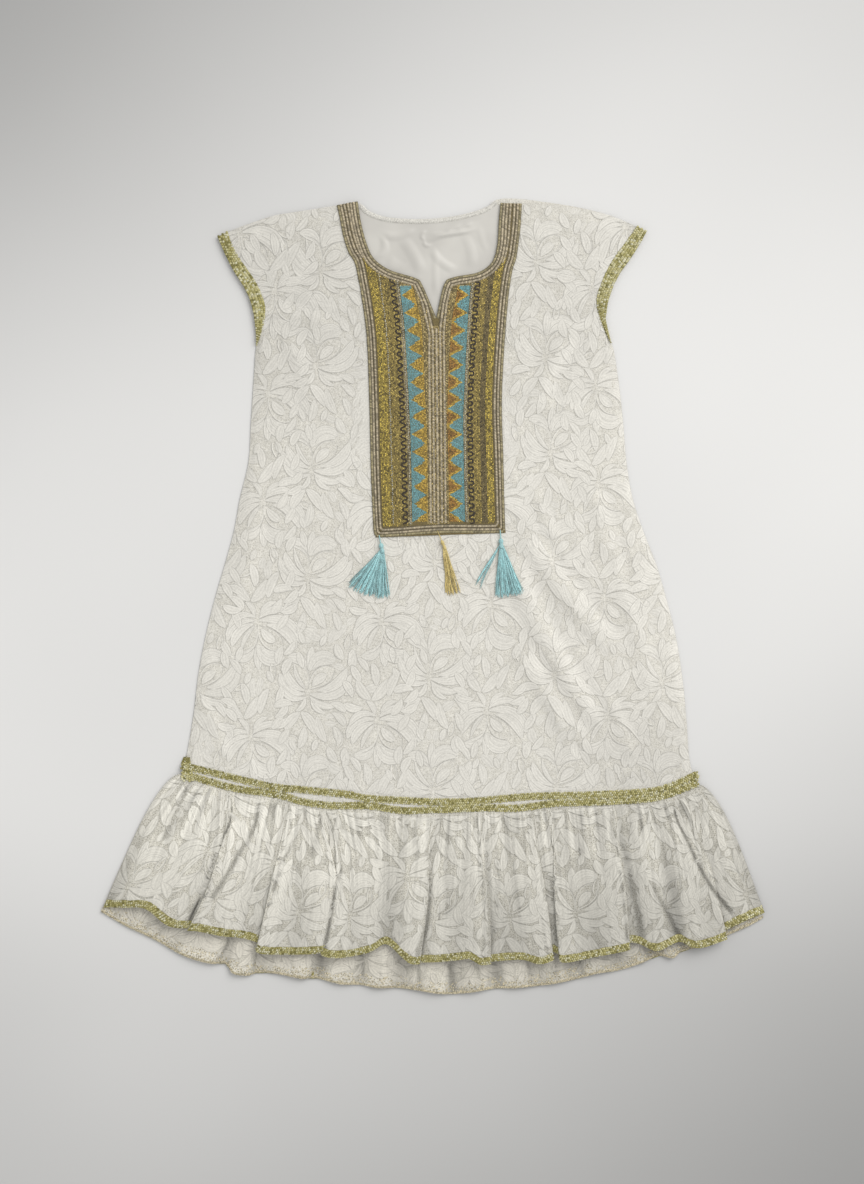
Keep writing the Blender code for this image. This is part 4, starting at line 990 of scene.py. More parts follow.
# %% [markdown]
# ## A gathered sheet
#
# The lace pattern runs along the cloth, not along what shows of it, and goes round every fold.
# UV unwrapping solves that for images. For raised petals the same idea is used with points: the
# sheet knows its place in flat cloth at every point, u along the hem and v down from the waist,
# and lays anything given in flat cloth on its folds.

# %% The flounce class
class Flounce:
    """A gathered sheet: a grid of points, and the way from flat cloth to it."""

    def __init__(self, control, heights, rows, lift_unit, trough_rows):
        dense = spline(control, 9)
        self.share = ((dense[:, 0] - dense[0, 0]) / (dense[-1, 0] - dense[0, 0]))[None, :]
        self.down = rows
        down = rows[:, None]
        top_x, hem_x, hem_y, lift, bow, sway = dense.T
        top_y = seam_y(top_x) - 0.4 * MM
        self.length = top_y - hem_y
        let_out = ease((down - 0.12) / 0.5)
        x = mix(top_x, hem_x, down) + bow * np.sin(np.pi * down) + sway * let_out
        x = x + FLOUNCE_BULGE * (2.0 * self.share - 1.0) ** 3 * np.sin(np.pi * np.sqrt(down))
        y = mix(top_y, hem_y, down)
        depth = troughs(trough_rows, x, y)
        z = heights(self.share, down, top_x, top_y - y, lift) - TROUGH_DEPTH * depth
        self.points = np.stack([x, y, z], -1)
        edge = np.stack([hem_x + sway, lift * lift_unit], -1)
        self.u = np.concatenate([[0.0], np.cumsum(np.hypot(*np.diff(edge, axis=0).T))])
        self.width = self.u[-1]
        across = np.gradient(self.points, axis=1)
        along = np.gradient(self.points, axis=0)
        normal = np.cross(along, across)
        self.normals = normal / np.maximum(np.linalg.norm(normal, axis=-1), 1e-12)[..., None]
        # Painted shade in hollows and troughs, and painted light fading to the right and the hem
        low, wide = self.hollow(z, 4), self.hollow(z, 14)
        light_fall_right = 1.0 - 0.5 * np.clip(x, -0.20, 0.30) * (1.0 - 0.2 * ease((x - 0.30) / 0.08))
        light_fall_hem = 1.14 - 0.26 * ease((down - 0.15) / 0.7)
        self.shade = (np.clip(1.0 + 0.18 * low + 0.09 * wide, 0.45, 1.08)
                      * (1.0 - depth) * light_fall_right * light_fall_hem)[..., None]
        self.depth = depth[..., None]
        self.flat = np.stack(np.broadcast_arrays(self.u[None, :], down * self.length), -1)

    @staticmethod
    def hollow(z, reach):
        """How far each point stands over its neighbours across the sheet, in millimetres."""
        padded = np.pad(z, ((0, 0), (reach, reach)), mode="edge")
        total = np.cumsum(np.pad(padded, ((0, 0), (1, 0))), axis=1)
        window = 2 * reach + 1
        return (z - (total[:, window:] - total[:, :-window]) / window) / MM

    def hem(self, u):
        return np.interp(u, self.u, self.length)

    def sample(self, u, v, *fields):
        """Values of the sheet's fields at flat places."""
        column = np.interp(u, self.u, np.arange(len(self.u)))
        row = np.interp(v / self.hem(u), self.down, np.arange(len(self.down)))
        i = np.clip(column.astype(int), 0, len(self.u) - 2)
        j = np.clip(row.astype(int), 0, len(self.down) - 2)
        a, b = (column - i)[:, None], (row - j)[:, None]
        return [(field[j, i] * (1 - a) + field[j, i + 1] * a) * (1 - b)
                + (field[j + 1, i] * (1 - a) + field[j + 1, i + 1] * a) * b for field in fields]

    def lay(self, u, v, lift):
        """Points of the sheet at flat places, raised by lift."""
        place, normal = self.sample(u, v, self.points, self.normals)
        normal = normal / np.maximum(np.linalg.norm(normal, axis=1), 1e-12)[:, None]
        return place + normal * lift[:, None]

    def tone(self, u, v):
        return self.sample(u, v, self.shade)[0][:, 0]


# %% [markdown]
# ## The two flounces
#
# The back flounce lies on the surface in flat waves, and the front one lies on the back, follows
# its waves and adds its own pleats. Two objects with a solidify modifier would cut through each
# other at every pleat. Because the front's height starts from the back's, they can't.

# %% Flounce sheets
def back_wave(distance):
    return BACK_WAVE_HEIGHT * ease(distance / FLOUNCE_LENGTH)


def front_heights(share, down, top_x, distance, lift):
    off_waist = ease((down - 0.03) / 0.05)
    wave = back_wave(distance) * sides(share, 0.04) * 1.12
    small = gathers(top_x, distance, 96, 5) * sides(share, 0.03)
    away = BARE_LACE + SEAM_GAP + wave + OVER_BRAID * ease((down - 0.65) / 0.2)
    away = away + lift * ease(down) + small
    return mix(FRONT_LEVEL, away, off_waist) + BARE_LACE


def back_heights(share, down, top_x, distance, lift):
    wave = back_wave(distance) * sides(share - 0.008, 0.06) * lift
    on_waist = OVER_BRAID * (1.0 - ease((down - 0.025) / 0.03))
    return wave + on_waist + OVER_BRAID * ease((down - 0.945) / 0.015) + 0.5 * MM


front_rows = np.concatenate([np.linspace(0.0, 0.1, 9)[:-1], np.linspace(0.1, 1.0, 52)])
front_flounce = Flounce(front_control, front_heights, front_rows, 1.0, TROUGHS)
across = (BACK_HEM[:, 0] - BACK_HEM[0, 0]) / (BACK_HEM[-1, 0] - BACK_HEM[0, 0])
back_control = np.column_stack([mix(PLEATS[0, 0], PLEATS[-1, 0], across), BACK_HEM,
                                np.zeros((len(BACK_HEM), 2))])
back_rows = np.concatenate([np.linspace(0.0, 0.7, 18)[:-1], np.linspace(0.7, 1.0, 26)])
back_flounce = Flounce(back_control, back_heights, back_rows, BACK_WAVE_HEIGHT,
                       BACK_TROUGHS)


def flounce_sheet(name, flounce, material):
    return sheet_mesh(name, flounce.points, material, shade=flounce.shade[..., 0],
                      across=flounce.flat[..., 0], down=flounce.flat[..., 1])


front_ruffle = flounce_sheet("front_ruffle_lace", front_flounce, flounce_net)
back_ruffle = flounce_sheet("back_ruffle_lace", back_flounce, inner_net)
print(f"cloth along the hems: {front_flounce.width:.3f} m front, {back_flounce.width:.3f} m back")

# %% [markdown]
# ## Petals on the flounce
#
# The flounce is cut from the same lace, so the same flowers are laid on it in flat cloth and go
# round its folds with it. Petals in the bottom of a deep trough are left out, as they are hidden
# in the fold and would stick out of it, and so that the net's painted shade shows there.

# %% Petals on the flounce
SHALLOW = 0.17
COLUMN_PITCH = 74.0 * MM
UNDER_HEM_BRAID = 1.0 * MM


def flounce_petals(name, flounce, first, upright_v, inverted_v, shortest, material):
    """The same flowers in columns along the flounce."""
    def lowest(u):
        return flounce.hem(u) - HEM_BRAID + UNDER_HEM_BRAID

    def inside(u, v):
        return (u > 0.0) & (u < flounce.width) & (v > shortest) & (v < lowest(u))

    def clip(u, v):
        u = np.clip(u, 0.2 * MM, flounce.width - 0.2 * MM)
        return u, np.clip(v, shortest, lowest(u))

    columns = np.arange(first * MM, flounce.width + 60.0 * MM, COLUMN_PITCH)
    flowers = [(u, v * MM) for u in columns[::2] for v in upright_v]
    turned = [(u, v * MM) for u in columns[1::2] for v in inverted_v]
    # v runs down the cloth, so an upright flower is a turned one there
    flat, lift, shade, thread, faces = whole_lace(
        flower_places(turned, flowers), np.array([0.0, shortest]),
        np.array([flounce.width, flounce.length.max()]), inside, clip, 0.30, 22)
    u, v = flat.T
    depth = flounce.sample(u, v, flounce.depth)[0][:, 0]
    faces = faces[depth[faces].mean(1) < SHALLOW]
    return build(name, flounce.lay(u, v, lift), faces[:, ::-1], material,
                 shade=shade * flounce.tone(u, v), uv=thread, across=u, down=v)


front_ruffle_petals = flounce_petals("front_ruffle_petals", front_flounce, 20.0,
                                     (4.0, 140.0), (86.0, 214.0), 7.0 * MM, flounce_petal)
back_ruffle_petals = flounce_petals("back_ruffle_petals", back_flounce, 45.0, (190.0,),
                                    (150.0,), 120.0 * MM, inner_petal)

# %% [markdown]
# ## Stitches
#
# Braids, cords and embroidery are all thread, wound, woven or sewn in short raised stitches. A
# curve with a round bevel gives a smooth wire, and a texture gives a flat ribbon. Each stitch
# here is a small pointed roof of four triangles with its own colour, and a class gathers them,
# so that one mesh holds thousands and the light catches every one of them.

# %% Stitches, ropes and strips
# Four corners of a stitch one long and one wide, and its top
STITCH = np.array([(-0.5, 0.0), (0.0, -0.5), (0.5, 0.0), (0.0, 0.5), (0.0, 0.0)])
STITCH_FACES = np.array([(0, 1, 4), (1, 2, 4), (2, 3, 4), (3, 0, 4)])


class Stitches:
    """Gathers small raised stitches and lays them on a surface as one mesh."""

    def __init__(self):
        self.flat, self.lift, self.tint = [], [], []

    def add(self, centres, angles, length, width, height, tint, spread=0.25, rim=0.35,
            base=0.0):
        """Stitches at centres; tint is one colour or a colour for each."""
        count = len(centres)
        along = STITCH[None, :, 0] * np.broadcast_to(length, count)[:, None]
        across = STITCH[None, :, 1] * np.broadcast_to(width, count)[:, None]
        cos = np.cos(np.broadcast_to(angles, count))[:, None]
        sin = np.sin(np.broadcast_to(angles, count))[:, None]
        self.flat.append(np.stack([centres[:, :1] + along * cos - across * sin,
                                   centres[:, 1:] + along * sin + across * cos], -1))
        lift = np.full((count, len(STITCH)), base)
        lift[:, -1] += height * rng.uniform(0.8, 1.15, count)
        self.lift.append(lift)
        tone = rng.uniform(1.0 - spread, 1.0 + spread, count)[:, None]
        colour = np.broadcast_to(tint, (count, 3)) * tone
        # Painted shade between the stitches: the four corners are darkened by rim, the top keeps
        # its tint
        edge = np.array([rim, rim, rim, rim, 1.0])[None, :, None]
        self.tint.append(colour[:, None, :] * edge)

    def rope(self, path, width, height, tint, pitch=1.9 * MM, slant=1.0, spread=0.42, rim=0.36):
        """A twisted cord along a path."""
        points, angle = resample(path, pitch)
        length = np.hypot(*np.diff(path, axis=0).T).sum()
        print(f"cord {width / MM:.1f} mm wide, {length:.3f} m long")
        self.add(points, angle + slant, width / abs(math.sin(slant)), pitch * 1.5, height, tint,
                 spread, rim)

    def make(self, name, lay, material):
        """One mesh of all the stitches, laid on a surface by a function."""
        flat = np.concatenate(self.flat).reshape(-1, 2)
        lift = np.concatenate(self.lift).ravel()
        tint = np.concatenate(self.tint).reshape(-1, 3)
        starts = np.arange(0, len(flat), len(STITCH))
        faces = (STITCH_FACES[None] + starts[:, None, None]).reshape(-1, 3)
        return build(name, lay(flat[:, 0], flat[:, 1], lift), faces, material, tint=tint)


def flat_lay(level):
    """A function that lays stitches on a level."""
    return lambda u, v, lift: np.stack([u, v, level + lift], -1)


def ruled_strip(name, first, second, lay, heights, tint, material):
    """A strip between two lines with as many points each; heights, in mm, run across it."""
    heights = np.asarray(heights) * MM
    share = np.linspace(0.0, 1.0, len(heights))[None, :, None]
    flat = mix(first[:, None, :], second[:, None, :], share)
    lift = np.broadcast_to(heights, flat.shape[:2])
    points = lay(flat[..., 0].ravel(), flat[..., 1].ravel(), lift.ravel())
    tints = np.broadcast_to(tint, (points.shape[0], 3))
    return build(name, points, grid_faces(*flat.shape[:2]), material, tint=tints)


# %% [markdown]
# ## Woven braid
#
# The braid is olive and pale gold thread, woven so that short stitches lean left and right by
# turns. One tint for all would look like painted ribbon, so every stitch takes one of five tints
# by chance, on a dark strip that shows between them.

# %% Woven braid
OLIVE_DARK = np.array([0.26, 0.23, 0.075])
BRAID_TINTS = np.array([(0.86, 0.81, 0.45), (0.74, 0.68, 0.30), (0.54, 0.49, 0.17),
                        (0.98, 0.95, 0.66), (0.33, 0.30, 0.09)])
BRAID_SHARES = (0.26, 0.28, 0.20, 0.14, 0.12)


def braid_tints(count):
    """A tint for each stitch, by chance, in the shares of the real braid."""
    return BRAID_TINTS[rng.choice(len(BRAID_TINTS), count, p=BRAID_SHARES)]


BRAID_PITCH, BRAID_HEIGHT, BRAID_LEAN = 2.9 * MM, 0.8 * MM, 0.85


def braid(stitches, first, second, lanes, tone, pitch=BRAID_PITCH):
    """A woven braid between two lines: lanes of short stitches that lean both ways by turns."""
    length = np.hypot(*np.diff(first, axis=0).T).sum()
    print(f"braid of {lanes} lanes, {length:.3f} m long")
    count = int(length / pitch)
    at = np.linspace(0.0, len(first) - 1.0, count)
    index = np.arange(len(first))
    for lane in range(lanes):
        share = (lane + 0.5) / lanes
        line = mix(first, second, share)
        wide = np.hypot(*(second - first).T) / lanes
        points = np.stack([np.interp(at, index, line[:, k]) for k in range(2)], -1)
        width = np.interp(at, index, wide)
        way = np.gradient(points, axis=0)
        angle = np.arctan2(way[:, 1], way[:, 0])
        lean = np.where((np.arange(count) + lane) % 2, BRAID_LEAN, -BRAID_LEAN)
        points = points + way * (0.5 * (lane % 2)) + rng.normal(0.0, 0.2 * MM, points.shape)
        stitches.add(points, angle + lean, width * 1.35, width * 1.25, BRAID_HEIGHT,
                     tone * braid_tints(count), 0.1, 0.58)


def braided(name, first, second, lanes, tone, level, rise, pitch=BRAID_PITCH, end=None):
    """A flat braid: its dark strip and the stitches on it; end is one more piece of it."""
    strip = ruled_strip(f"{name[0]}_braid_{name[1]}", first, second, flat_lay(level), rise,
                        OLIVE_DARK, metal_thread)
    woven = Stitches()
    braid(woven, first, second, lanes, tone, pitch)
    if end is not None:
        braid(woven, *end, 5, tone, pitch)
    return strip, woven.make(f"{name[0]}_stitches_{name[1]}", flat_lay(level + 0.3 * MM),
                             metal_thread)


# %% [markdown]
# ## Waist and cuff braids
#
# Two rows of braid cover the seam between body and flounce, and one row edges each sleeve. The
# rows at the waist were sewn on by hand and touch and part along the way, so a table moves them.
# They could be one long ribbon on a curve, but a strip between two lines keeps both edges exact.

# %% Waist and cuff braids
WAIST_LEVEL, WAIST_HALF = 4.3 * MM, 4.9 * MM
WAIST_RISE = (-1.2, 0.1, 0.2, 0.1, -1.2)
CUFF_LEVEL = FRONT_TOP + 0.2 * MM
CUFF_RISE = (-1.4, 0.2, 0.3, 0.3, 0.2, -1.4)


def waist_lines(height_of, half):
    """The two edges of a braid whose middle is at a height for each x."""
    xs = np.linspace(-325.5, 343.5, 260) * MM
    path = np.stack([xs, height_of(xs)], -1)
    return offset(path, -half), offset(path, half)


# Where the two rows come together and part again: x, how far the upper and the lower row move up
ROW_SHIFTS = table(
    (-326, 0, 0), (-297, 0, 0.5), (-254, 0, 0), (-222, -0.8, 2.4), (-205, -1.4, 3.0),
    (-188, -0.8, 2.4), (-174, 0, 0.4), (-140, 0, 0), (-108, -0.8, 1.2), (-90, -2.6, 2.6),
    (-74, -2.4, 2.0), (-42, -1.5, 0.2), (-8, -1.2, 2.4), (23, -0.6, 2.0), (70, 0, 1.8),
    (88, 0, 0.4), (114, 0, -1.2), (148, -0.4, 1.6), (166, -0.6, 1.8), (218, -3.5, -1.0),
    (270, -2.7, 0.2), (322, -1.2, 1.0), (344, -0.6, 0.8))
shift_line = spline(ROW_SHIFTS)

# The end of the braid that is wrapped over the left seam: one edge, the other edge
WRAP = mix(*table((-320.5, -207, -315, -209), (-327, -236, -310, -238)).reshape(2, 1, 2, 2),
           np.linspace(0.0, 1.0, 12)[:, None, None])
wrap_strip = ruled_strip("waist_braid_end", WRAP[:, 0], WRAP[:, 1], flat_lay(WAIST_LEVEL),
                         WAIST_RISE, OLIVE_DARK, metal_thread)
pieces = {}
for column, (name, height_of) in enumerate((("upper", upper_y), ("lower", seam_y)), 1):
    shift = y_of(shift_line, column)
    low, high = waist_lines(lambda xs: height_of(xs) + shift(xs), WAIST_HALF)
    pieces[f"waist_{name}"] = braided(("waist", name), low, high, 4, 0.86, WAIST_LEVEL, WAIST_RISE,
                                      end=(WRAP[:, 0], WRAP[:, 1]) if name == "upper" else None)

for side, rows in (("left", LEFT_SLEEVE), ("right", RIGHT_SLEEVE)):
    edge, inner = spline(rows[:, :2], 14), spline(rows[:, 2:4], 14)
    if side == "right":
        edge, inner = inner, edge
    pieces[f"cuff_{side}"] = braided(("cuff", side), edge, inner, 5,
                                     0.78 if side == "left" else 0.68, CUFF_LEVEL, CUFF_RISE,
                                     pitch=2.8 * MM)

# %% [markdown]
# ## Hem braid
#
# The same braid edges the front flounce and goes up and down over its pleats. A curve modifier
# could bend a straight ribbon along the hem. The flounce already knows the way from flat cloth
# to its folds, so the braid is woven flat and laid on with the same call as the petals.

# %% Hem braid
u = np.linspace(0.0, front_flounce.width, 520)
hem_v = front_flounce.hem(u)
upper_edge = np.stack([u, hem_v - HEM_BRAID], -1)
lower_edge = np.stack([u, hem_v], -1)
hem_strip = ruled_strip("hem_braid", upper_edge, lower_edge, front_flounce.lay,
                        (0.1, 0.4, 0.5, 0.4, 0.1), OLIVE_DARK, metal_thread)
woven = Stitches()
braid(woven, upper_edge + np.array([0.0, 0.4 * MM]), lower_edge + np.array([0.0, 0.7 * MM]), 4,
      0.82)
hem_stitches = woven.make("hem_stitches", lambda a, b, h: front_flounce.lay(a, b, h + 0.6 * MM),
                          metal_thread)

# %% [markdown]
# ## Edge of the back hem
#
# The back flounce ends in a thin beige edging of two fine cords, one of them looped, with loose
# thread ends in the lace over it. The loops are a sine wave added to the hem line, which is less
# work than modelling one loop and repeating it along a curve that isn't straight.

# %% Looped edge
BEIGE = np.array([0.62, 0.55, 0.38])
u = np.linspace(0.0, back_flounce.width, 700)
picot = Stitches()
for inset, wave in ((2.2, 0.0), (0.9, 0.9)):
    loop = wave * MM * np.sin(u / (0.9 * MM))
    path = np.stack([u, back_flounce.hem(u) - inset * MM + loop], -1)
    picot.rope(path, 1.7 * MM, 0.7 * MM, BEIGE, pitch=2.0 * MM, rim=0.6)
own = np.random.default_rng(31)
count = 3600
u = own.uniform(0.0, back_flounce.width, count)
v = back_flounce.hem(u) - 15.0 * MM * own.random(count) ** 1.4
tints = BEIGE * own.choice((0.55, 0.9, 1.2), (count, 1), p=(0.3, 0.3, 0.4))
picot.add(np.stack([u, v], -1), own.uniform(0.0, 3.1, count), 2.2 * MM, 1.5 * MM, 0.5 * MM, tints,
          0.2, 0.7)
picot_edge = picot.make("picot_edge", back_flounce.lay, silk_thread)

# %% [markdown]
# ## The bib
#
# The bib is one stiff piece, worked all over and then sewn on the front. Its dark cloth shows only
# between the stitches, so a plain sheet is enough: two halves, each a grid between the outline
# and the neckline, joined down the middle. Cutting the neck out of a flat plane with a boolean
# would leave ragged triangles along the curve.

# %% Bib cloth
MIDDLE = table((5.5, 300), (6, 225), (7, 150), (7.5, 80))
inner_left, inner_right = (np.vstack([neck, spline(np.vstack([rows[-1:, 4:], MIDDLE]), 10)[1:]])
                           for neck, rows in ((left_neck, LEFT_SLEEVE), (right_neck, RIGHT_SLEEVE)))
BASE_TINT = np.array([0.17, 0.13, 0.05])
share = np.linspace(0.0, 1.0, 13)[None, :, None]
halves = []
for outer, inner in ((bib_left, inner_left), (bib_right, inner_right)):
    flat = mix(outer[:, None, :], inner[:, None, :], share)
    halves.append(flat if outer is bib_left else flat[:, ::-1])
whole = np.concatenate(halves, axis=1)
z = np.full(whole.shape[:2] + (1,), BIB_TOP)
EDGE_DROP = 1.0 * MM
z[:, 0] = z[:, -1] = BIB_TOP - EDGE_DROP
# The column of faces between the halves is left out as far down as the neck and the slit go
keep = np.ones((whole.shape[0] - 1, whole.shape[1] - 1), bool)
keep[:len(left_neck) - 1, share.size - 1] = False
bib_cloth = sheet_mesh("bib_cloth", np.concatenate([whole, z], -1), metal_thread, keep=keep,
                       tint=np.broadcast_to(BASE_TINT, whole.shape[:2] + (3,)))

# %% [markdown]
# ## Couched cords
#
# Couching lays a cord on the cloth and sews it down with small stitches across it. Pale cords
# frame the bib, the neck and the placket, with dark grooves between them. Bevelled curves would
# be smooth tubes. Ropes of slanted stitches show the twist, and take the same path moved in by a
# few millimetres for each row.

# %% Paths of the cords
CORD_TINT = np.array([0.60, 0.51, 0.35])
EDGE_TINT = np.array([0.42, 0.36, 0.20])
GROOVE_TINT = np.array([0.11, 0.085, 0.035])
# For each half of the bib: the way along x to its middle, its outline and its neckline
HALVES = {"left": (1.0, bib_left, left_neck), "right": (-1.0, bib_right, right_neck)}
ON_BIB = BIB_TOP + 0.1 * MM
bottom_y = y_of(BIB[-1].reshape(2, 2))


def frame_path(inset):
    """The bib's outline from one strap to the other, moved in by inset."""
    left, right = offset(bib_left, inset), offset(bib_right, -inset)
    left = left[left[:, 1] > bottom_y(left[:, 0]) + inset + 1.5 * MM]
    right = right[right[:, 1] > bottom_y(right[:, 0]) + inset + 1.5 * MM]
    xs = np.linspace(left[-1, 0] + 2.5 * MM, right[-1, 0] - 2.5 * MM, 60)
    sag = 2.2 * MM * np.sin(np.pi * (xs - xs[0]) / (xs[-1] - xs[0])) ** 2
    foot = np.stack([xs, bottom_y(xs) + inset + sag], -1)
    return np.vstack([left, foot, right[::-1]])


def neck_path(side, inset, placket_offset):
    """From the shoulder along the neck and the slit, then down beside the placket."""
    inward, _, neck = HALVES[side]
    along = offset(neck, -inward * inset)
    along = along[along[:, 1] > 378.0 * MM]
    ys = np.linspace(344.0, 96.0, 12)
    xs = np.interp(-ys, (-348.0, -94.0), (5.0, 7.5)) - inward * placket_offset / MM
    return np.vstack([along, spline(np.vstack([along[-1:], np.stack([xs, ys], -1) * MM]), 8)[1:]])


print(f"frame path {np.hypot(*np.diff(frame_path(0.0), axis=0).T).sum():.3f} m long")

# %% Couched cords
cords = Stitches()
# Rows of the frame: how far in, width, colour, height
for inset, width, tint, height in ((1.9, 3.9, EDGE_TINT, 0.9), (5.2, 3.4, CORD_TINT, 1.2),
                                   (7.3, 1.1, GROOVE_TINT, 0.4), (9.4, 3.4, CORD_TINT, 1.2),
                                   (11.6, 1.2, GROOVE_TINT * 1.6, 0.5)):
    cords.rope(frame_path(inset * MM), width * MM, height * MM, tint)
for side, (inward, outline, neck) in HALVES.items():
    # Rows along the neck: how far from it, how far from the placket, width, colour, height
    for inset, placket_offset, width, tint, height in (
            (5.4, 4.9, 4.0, CORD_TINT, 1.2), (9.4, 9.6, 4.0, CORD_TINT, 1.2),
            (7.5, 7.3, 1.1, GROOVE_TINT, 0.4), (11.7, 12.2, 1.2, GROOVE_TINT * 1.6, 0.4),
            (3.4, 2.5, 1.0, GROOVE_TINT, 0.4)):
        cords.rope(neck_path(side, inset * MM, placket_offset * MM), width * MM, height * MM, tint)
    cords.rope(offset(neck, -inward * 1.8 * MM), 3.6 * MM, 0.9 * MM, EDGE_TINT)
    # One more cord down the middle of the strap, over the first points of both lines
    middle = mix(offset(outline[:32], inward * 11.0 * MM), offset(neck[:32], -inward * 10.0 * MM),
                 0.5)
    cords.rope(middle, 3.6 * MM, 1.2 * MM, CORD_TINT)
centre = np.linspace(0.0, 1.0, 40)[:, None]
placket_line = mix(PLACKET_TOP, PLACKET_BOTTOM, centre)
cords.rope(placket_line, 4.2 * MM, 1.2 * MM, CORD_TINT)
bib_cords = cords.make("bib_cords", flat_lay(ON_BIB), silk_thread)

# %% [markdown]
# ## Columns of stitches
#
# Between the cords and the bands the cloth is filled with chain stitch in yellow and ochre, with
# a dark looped cord and lines of pale dots on it. A texture could show the colours, but this is
# where the eye comes closest and expects relief. Lanes of short stitches lean left and right by
# turns, which is how chain stitch looks from a little way off.

# %% Colours and edges of the columns
bands = spline(BANDS, 8)
band_x = {name: (lambda y, k=k: np.interp(-y, -bands[:, 0], bands[:, k]))
          for k, name in enumerate(("left_outer", "left_inner", "right_inner", "right_outer"), 1)}
YELLOW = np.array([0.70, 0.53, 0.10])
SILVER = np.array([0.50, 0.42, 0.22])
OCHRE = np.array([0.54, 0.41, 0.11])
BROWN = np.array([0.022, 0.014, 0.008])
TURQUOISE = np.array([0.22, 0.50, 0.54])
GOLD = np.array([0.76, 0.51, 0.09])
CORE = np.array([0.46, 0.24, 0.05])
DOTS = np.array([0.72, 0.70, 0.58])
# Columns from the frame cords to the bands: share of the width where each ends, and its colour
COLUMNS = {"left": ((0.30, YELLOW), (0.67, OCHRE), (0.86, OCHRE * 1.15), (1.0, SILVER * 1.1)),
           "right": ((0.24, YELLOW), (0.42, GROOVE_TINT * 2.2), (0.66, OCHRE),
                     (0.86, OCHRE * 1.15), (1.0, SILVER * 1.1))}
# Share of the width where the looped cord runs, and where the lines of dots run
LOOPS = {"left": 0.765, "right": 0.76}
DOTTED = {"left": (0.935, 0.36), "right": (0.935,)}
LANES, BAND_LANES = 21, 13
neck_points = np.vstack([left_neck, right_neck])


def clear_of_neck(points, reach=11.2 * MM):
    """Far enough from the neckline for the cords that run along it."""
    away = np.hypot(points[:, None, 0] - neck_points[None, ::3, 0],
                    points[:, None, 1] - neck_points[None, ::3, 1]).min(1)
    return away > reach


def column_x(side, share, y):
    """x at a share of the way from the frame cords to the bands."""
    edge = outline_x[side](y) + HALVES[side][0] * 13.0 * MM
    return mix(edge, band_x[side + "_outer"](y), share)


def inside_bib(points, reach=11.2 * MM):
    low = bottom_y(points[:, 0]) + 14.0 * MM
    return (clear_of_neck(points, reach) & (points[:, 1] > low)
            & ~neck_open(points[:, 0], points[:, 1], 2.0 * MM))


print("places of the column edges at y = 200 mm, left half:",
      [round(float(column_x("left", end, 0.2) / MM), 1) for end, _ in COLUMNS["left"]])

# %% Columns, loops and dots
fill, loops = Stitches(), Stitches()
for side, (inward, _, _) in HALVES.items():
    for lane in range(LANES):
        share = (lane + 0.5) / LANES
        tint = next(colour for end, colour in COLUMNS[side] if share <= end)
        y = np.arange(90.0, 440.0, 2.1) * MM + (lane % 2) * 1.0 * MM
        points = np.stack([column_x(side, share, y), y], -1)
        keep = inside_bib(points) & (inward * (band_x[side + "_outer"](y) - points[:, 0]) > 0.0) \
            & (inward * (points[:, 0] - outline_x[side](y)) > 12.0 * MM)
        points = points[keep] + rng.normal(0.0, 0.15 * MM, (keep.sum(), 2))
        lean = 0.45 if lane % 2 else -0.45
        flecks = rng.choice((0.35, 0.8, 1.0, 1.6), len(points), p=(0.18, 0.3, 0.34, 0.18))
        fill.add(points, math.pi / 2.0 + lean, 2.9 * MM, 1.9 * MM, 0.75 * MM,
                 tint * flecks[:, None], 0.2, 0.3)
    y = np.linspace(94.0, 425.0, 900) * MM
    middle = column_x(side, LOOPS[side], y)
    turn = y / (9.6 * MM) * 2.0 * math.pi + 0.8 * np.sin(y * 31.0)
    loop = 0.6 if side == "left" else 1.1
    path = np.stack([middle + 2.9 * MM * np.sin(turn), y - loop * MM * np.sin(2.0 * turn)], -1)
    path = path[inside_bib(path)]
    points, angle = resample(path, 1.4 * MM)
    loops.add(points, angle, 2.5 * MM, 2.5 * MM, 0.6 * MM, BROWN, 0.2, 0.9, 0.75 * MM)
    for share in DOTTED[side]:
        path = np.stack([column_x(side, share, y), y], -1)
        points, angle = resample(path[inside_bib(path)], 2.7 * MM)
        points = points + rng.normal(0.0, 0.35 * MM, points.shape)
        fill.add(points, angle, 2.2 * MM, 1.9 * MM, 0.7 * MM, DOTS, 0.3, 0.25, 0.5 * MM)
print(f"{sum(map(len, fill.flat))} stitches so far")

# %% [markdown]
# ## Bands of points
#
# On each side of the placket a turquoise and a golden row of triangles interlock like teeth.
# Every stitch asks whether it lies before or behind the zigzag between them and takes its colour
# from the answer, so the points stay sharp without cutting any shape. What is left round the
# bands is filled with plain pale gold.

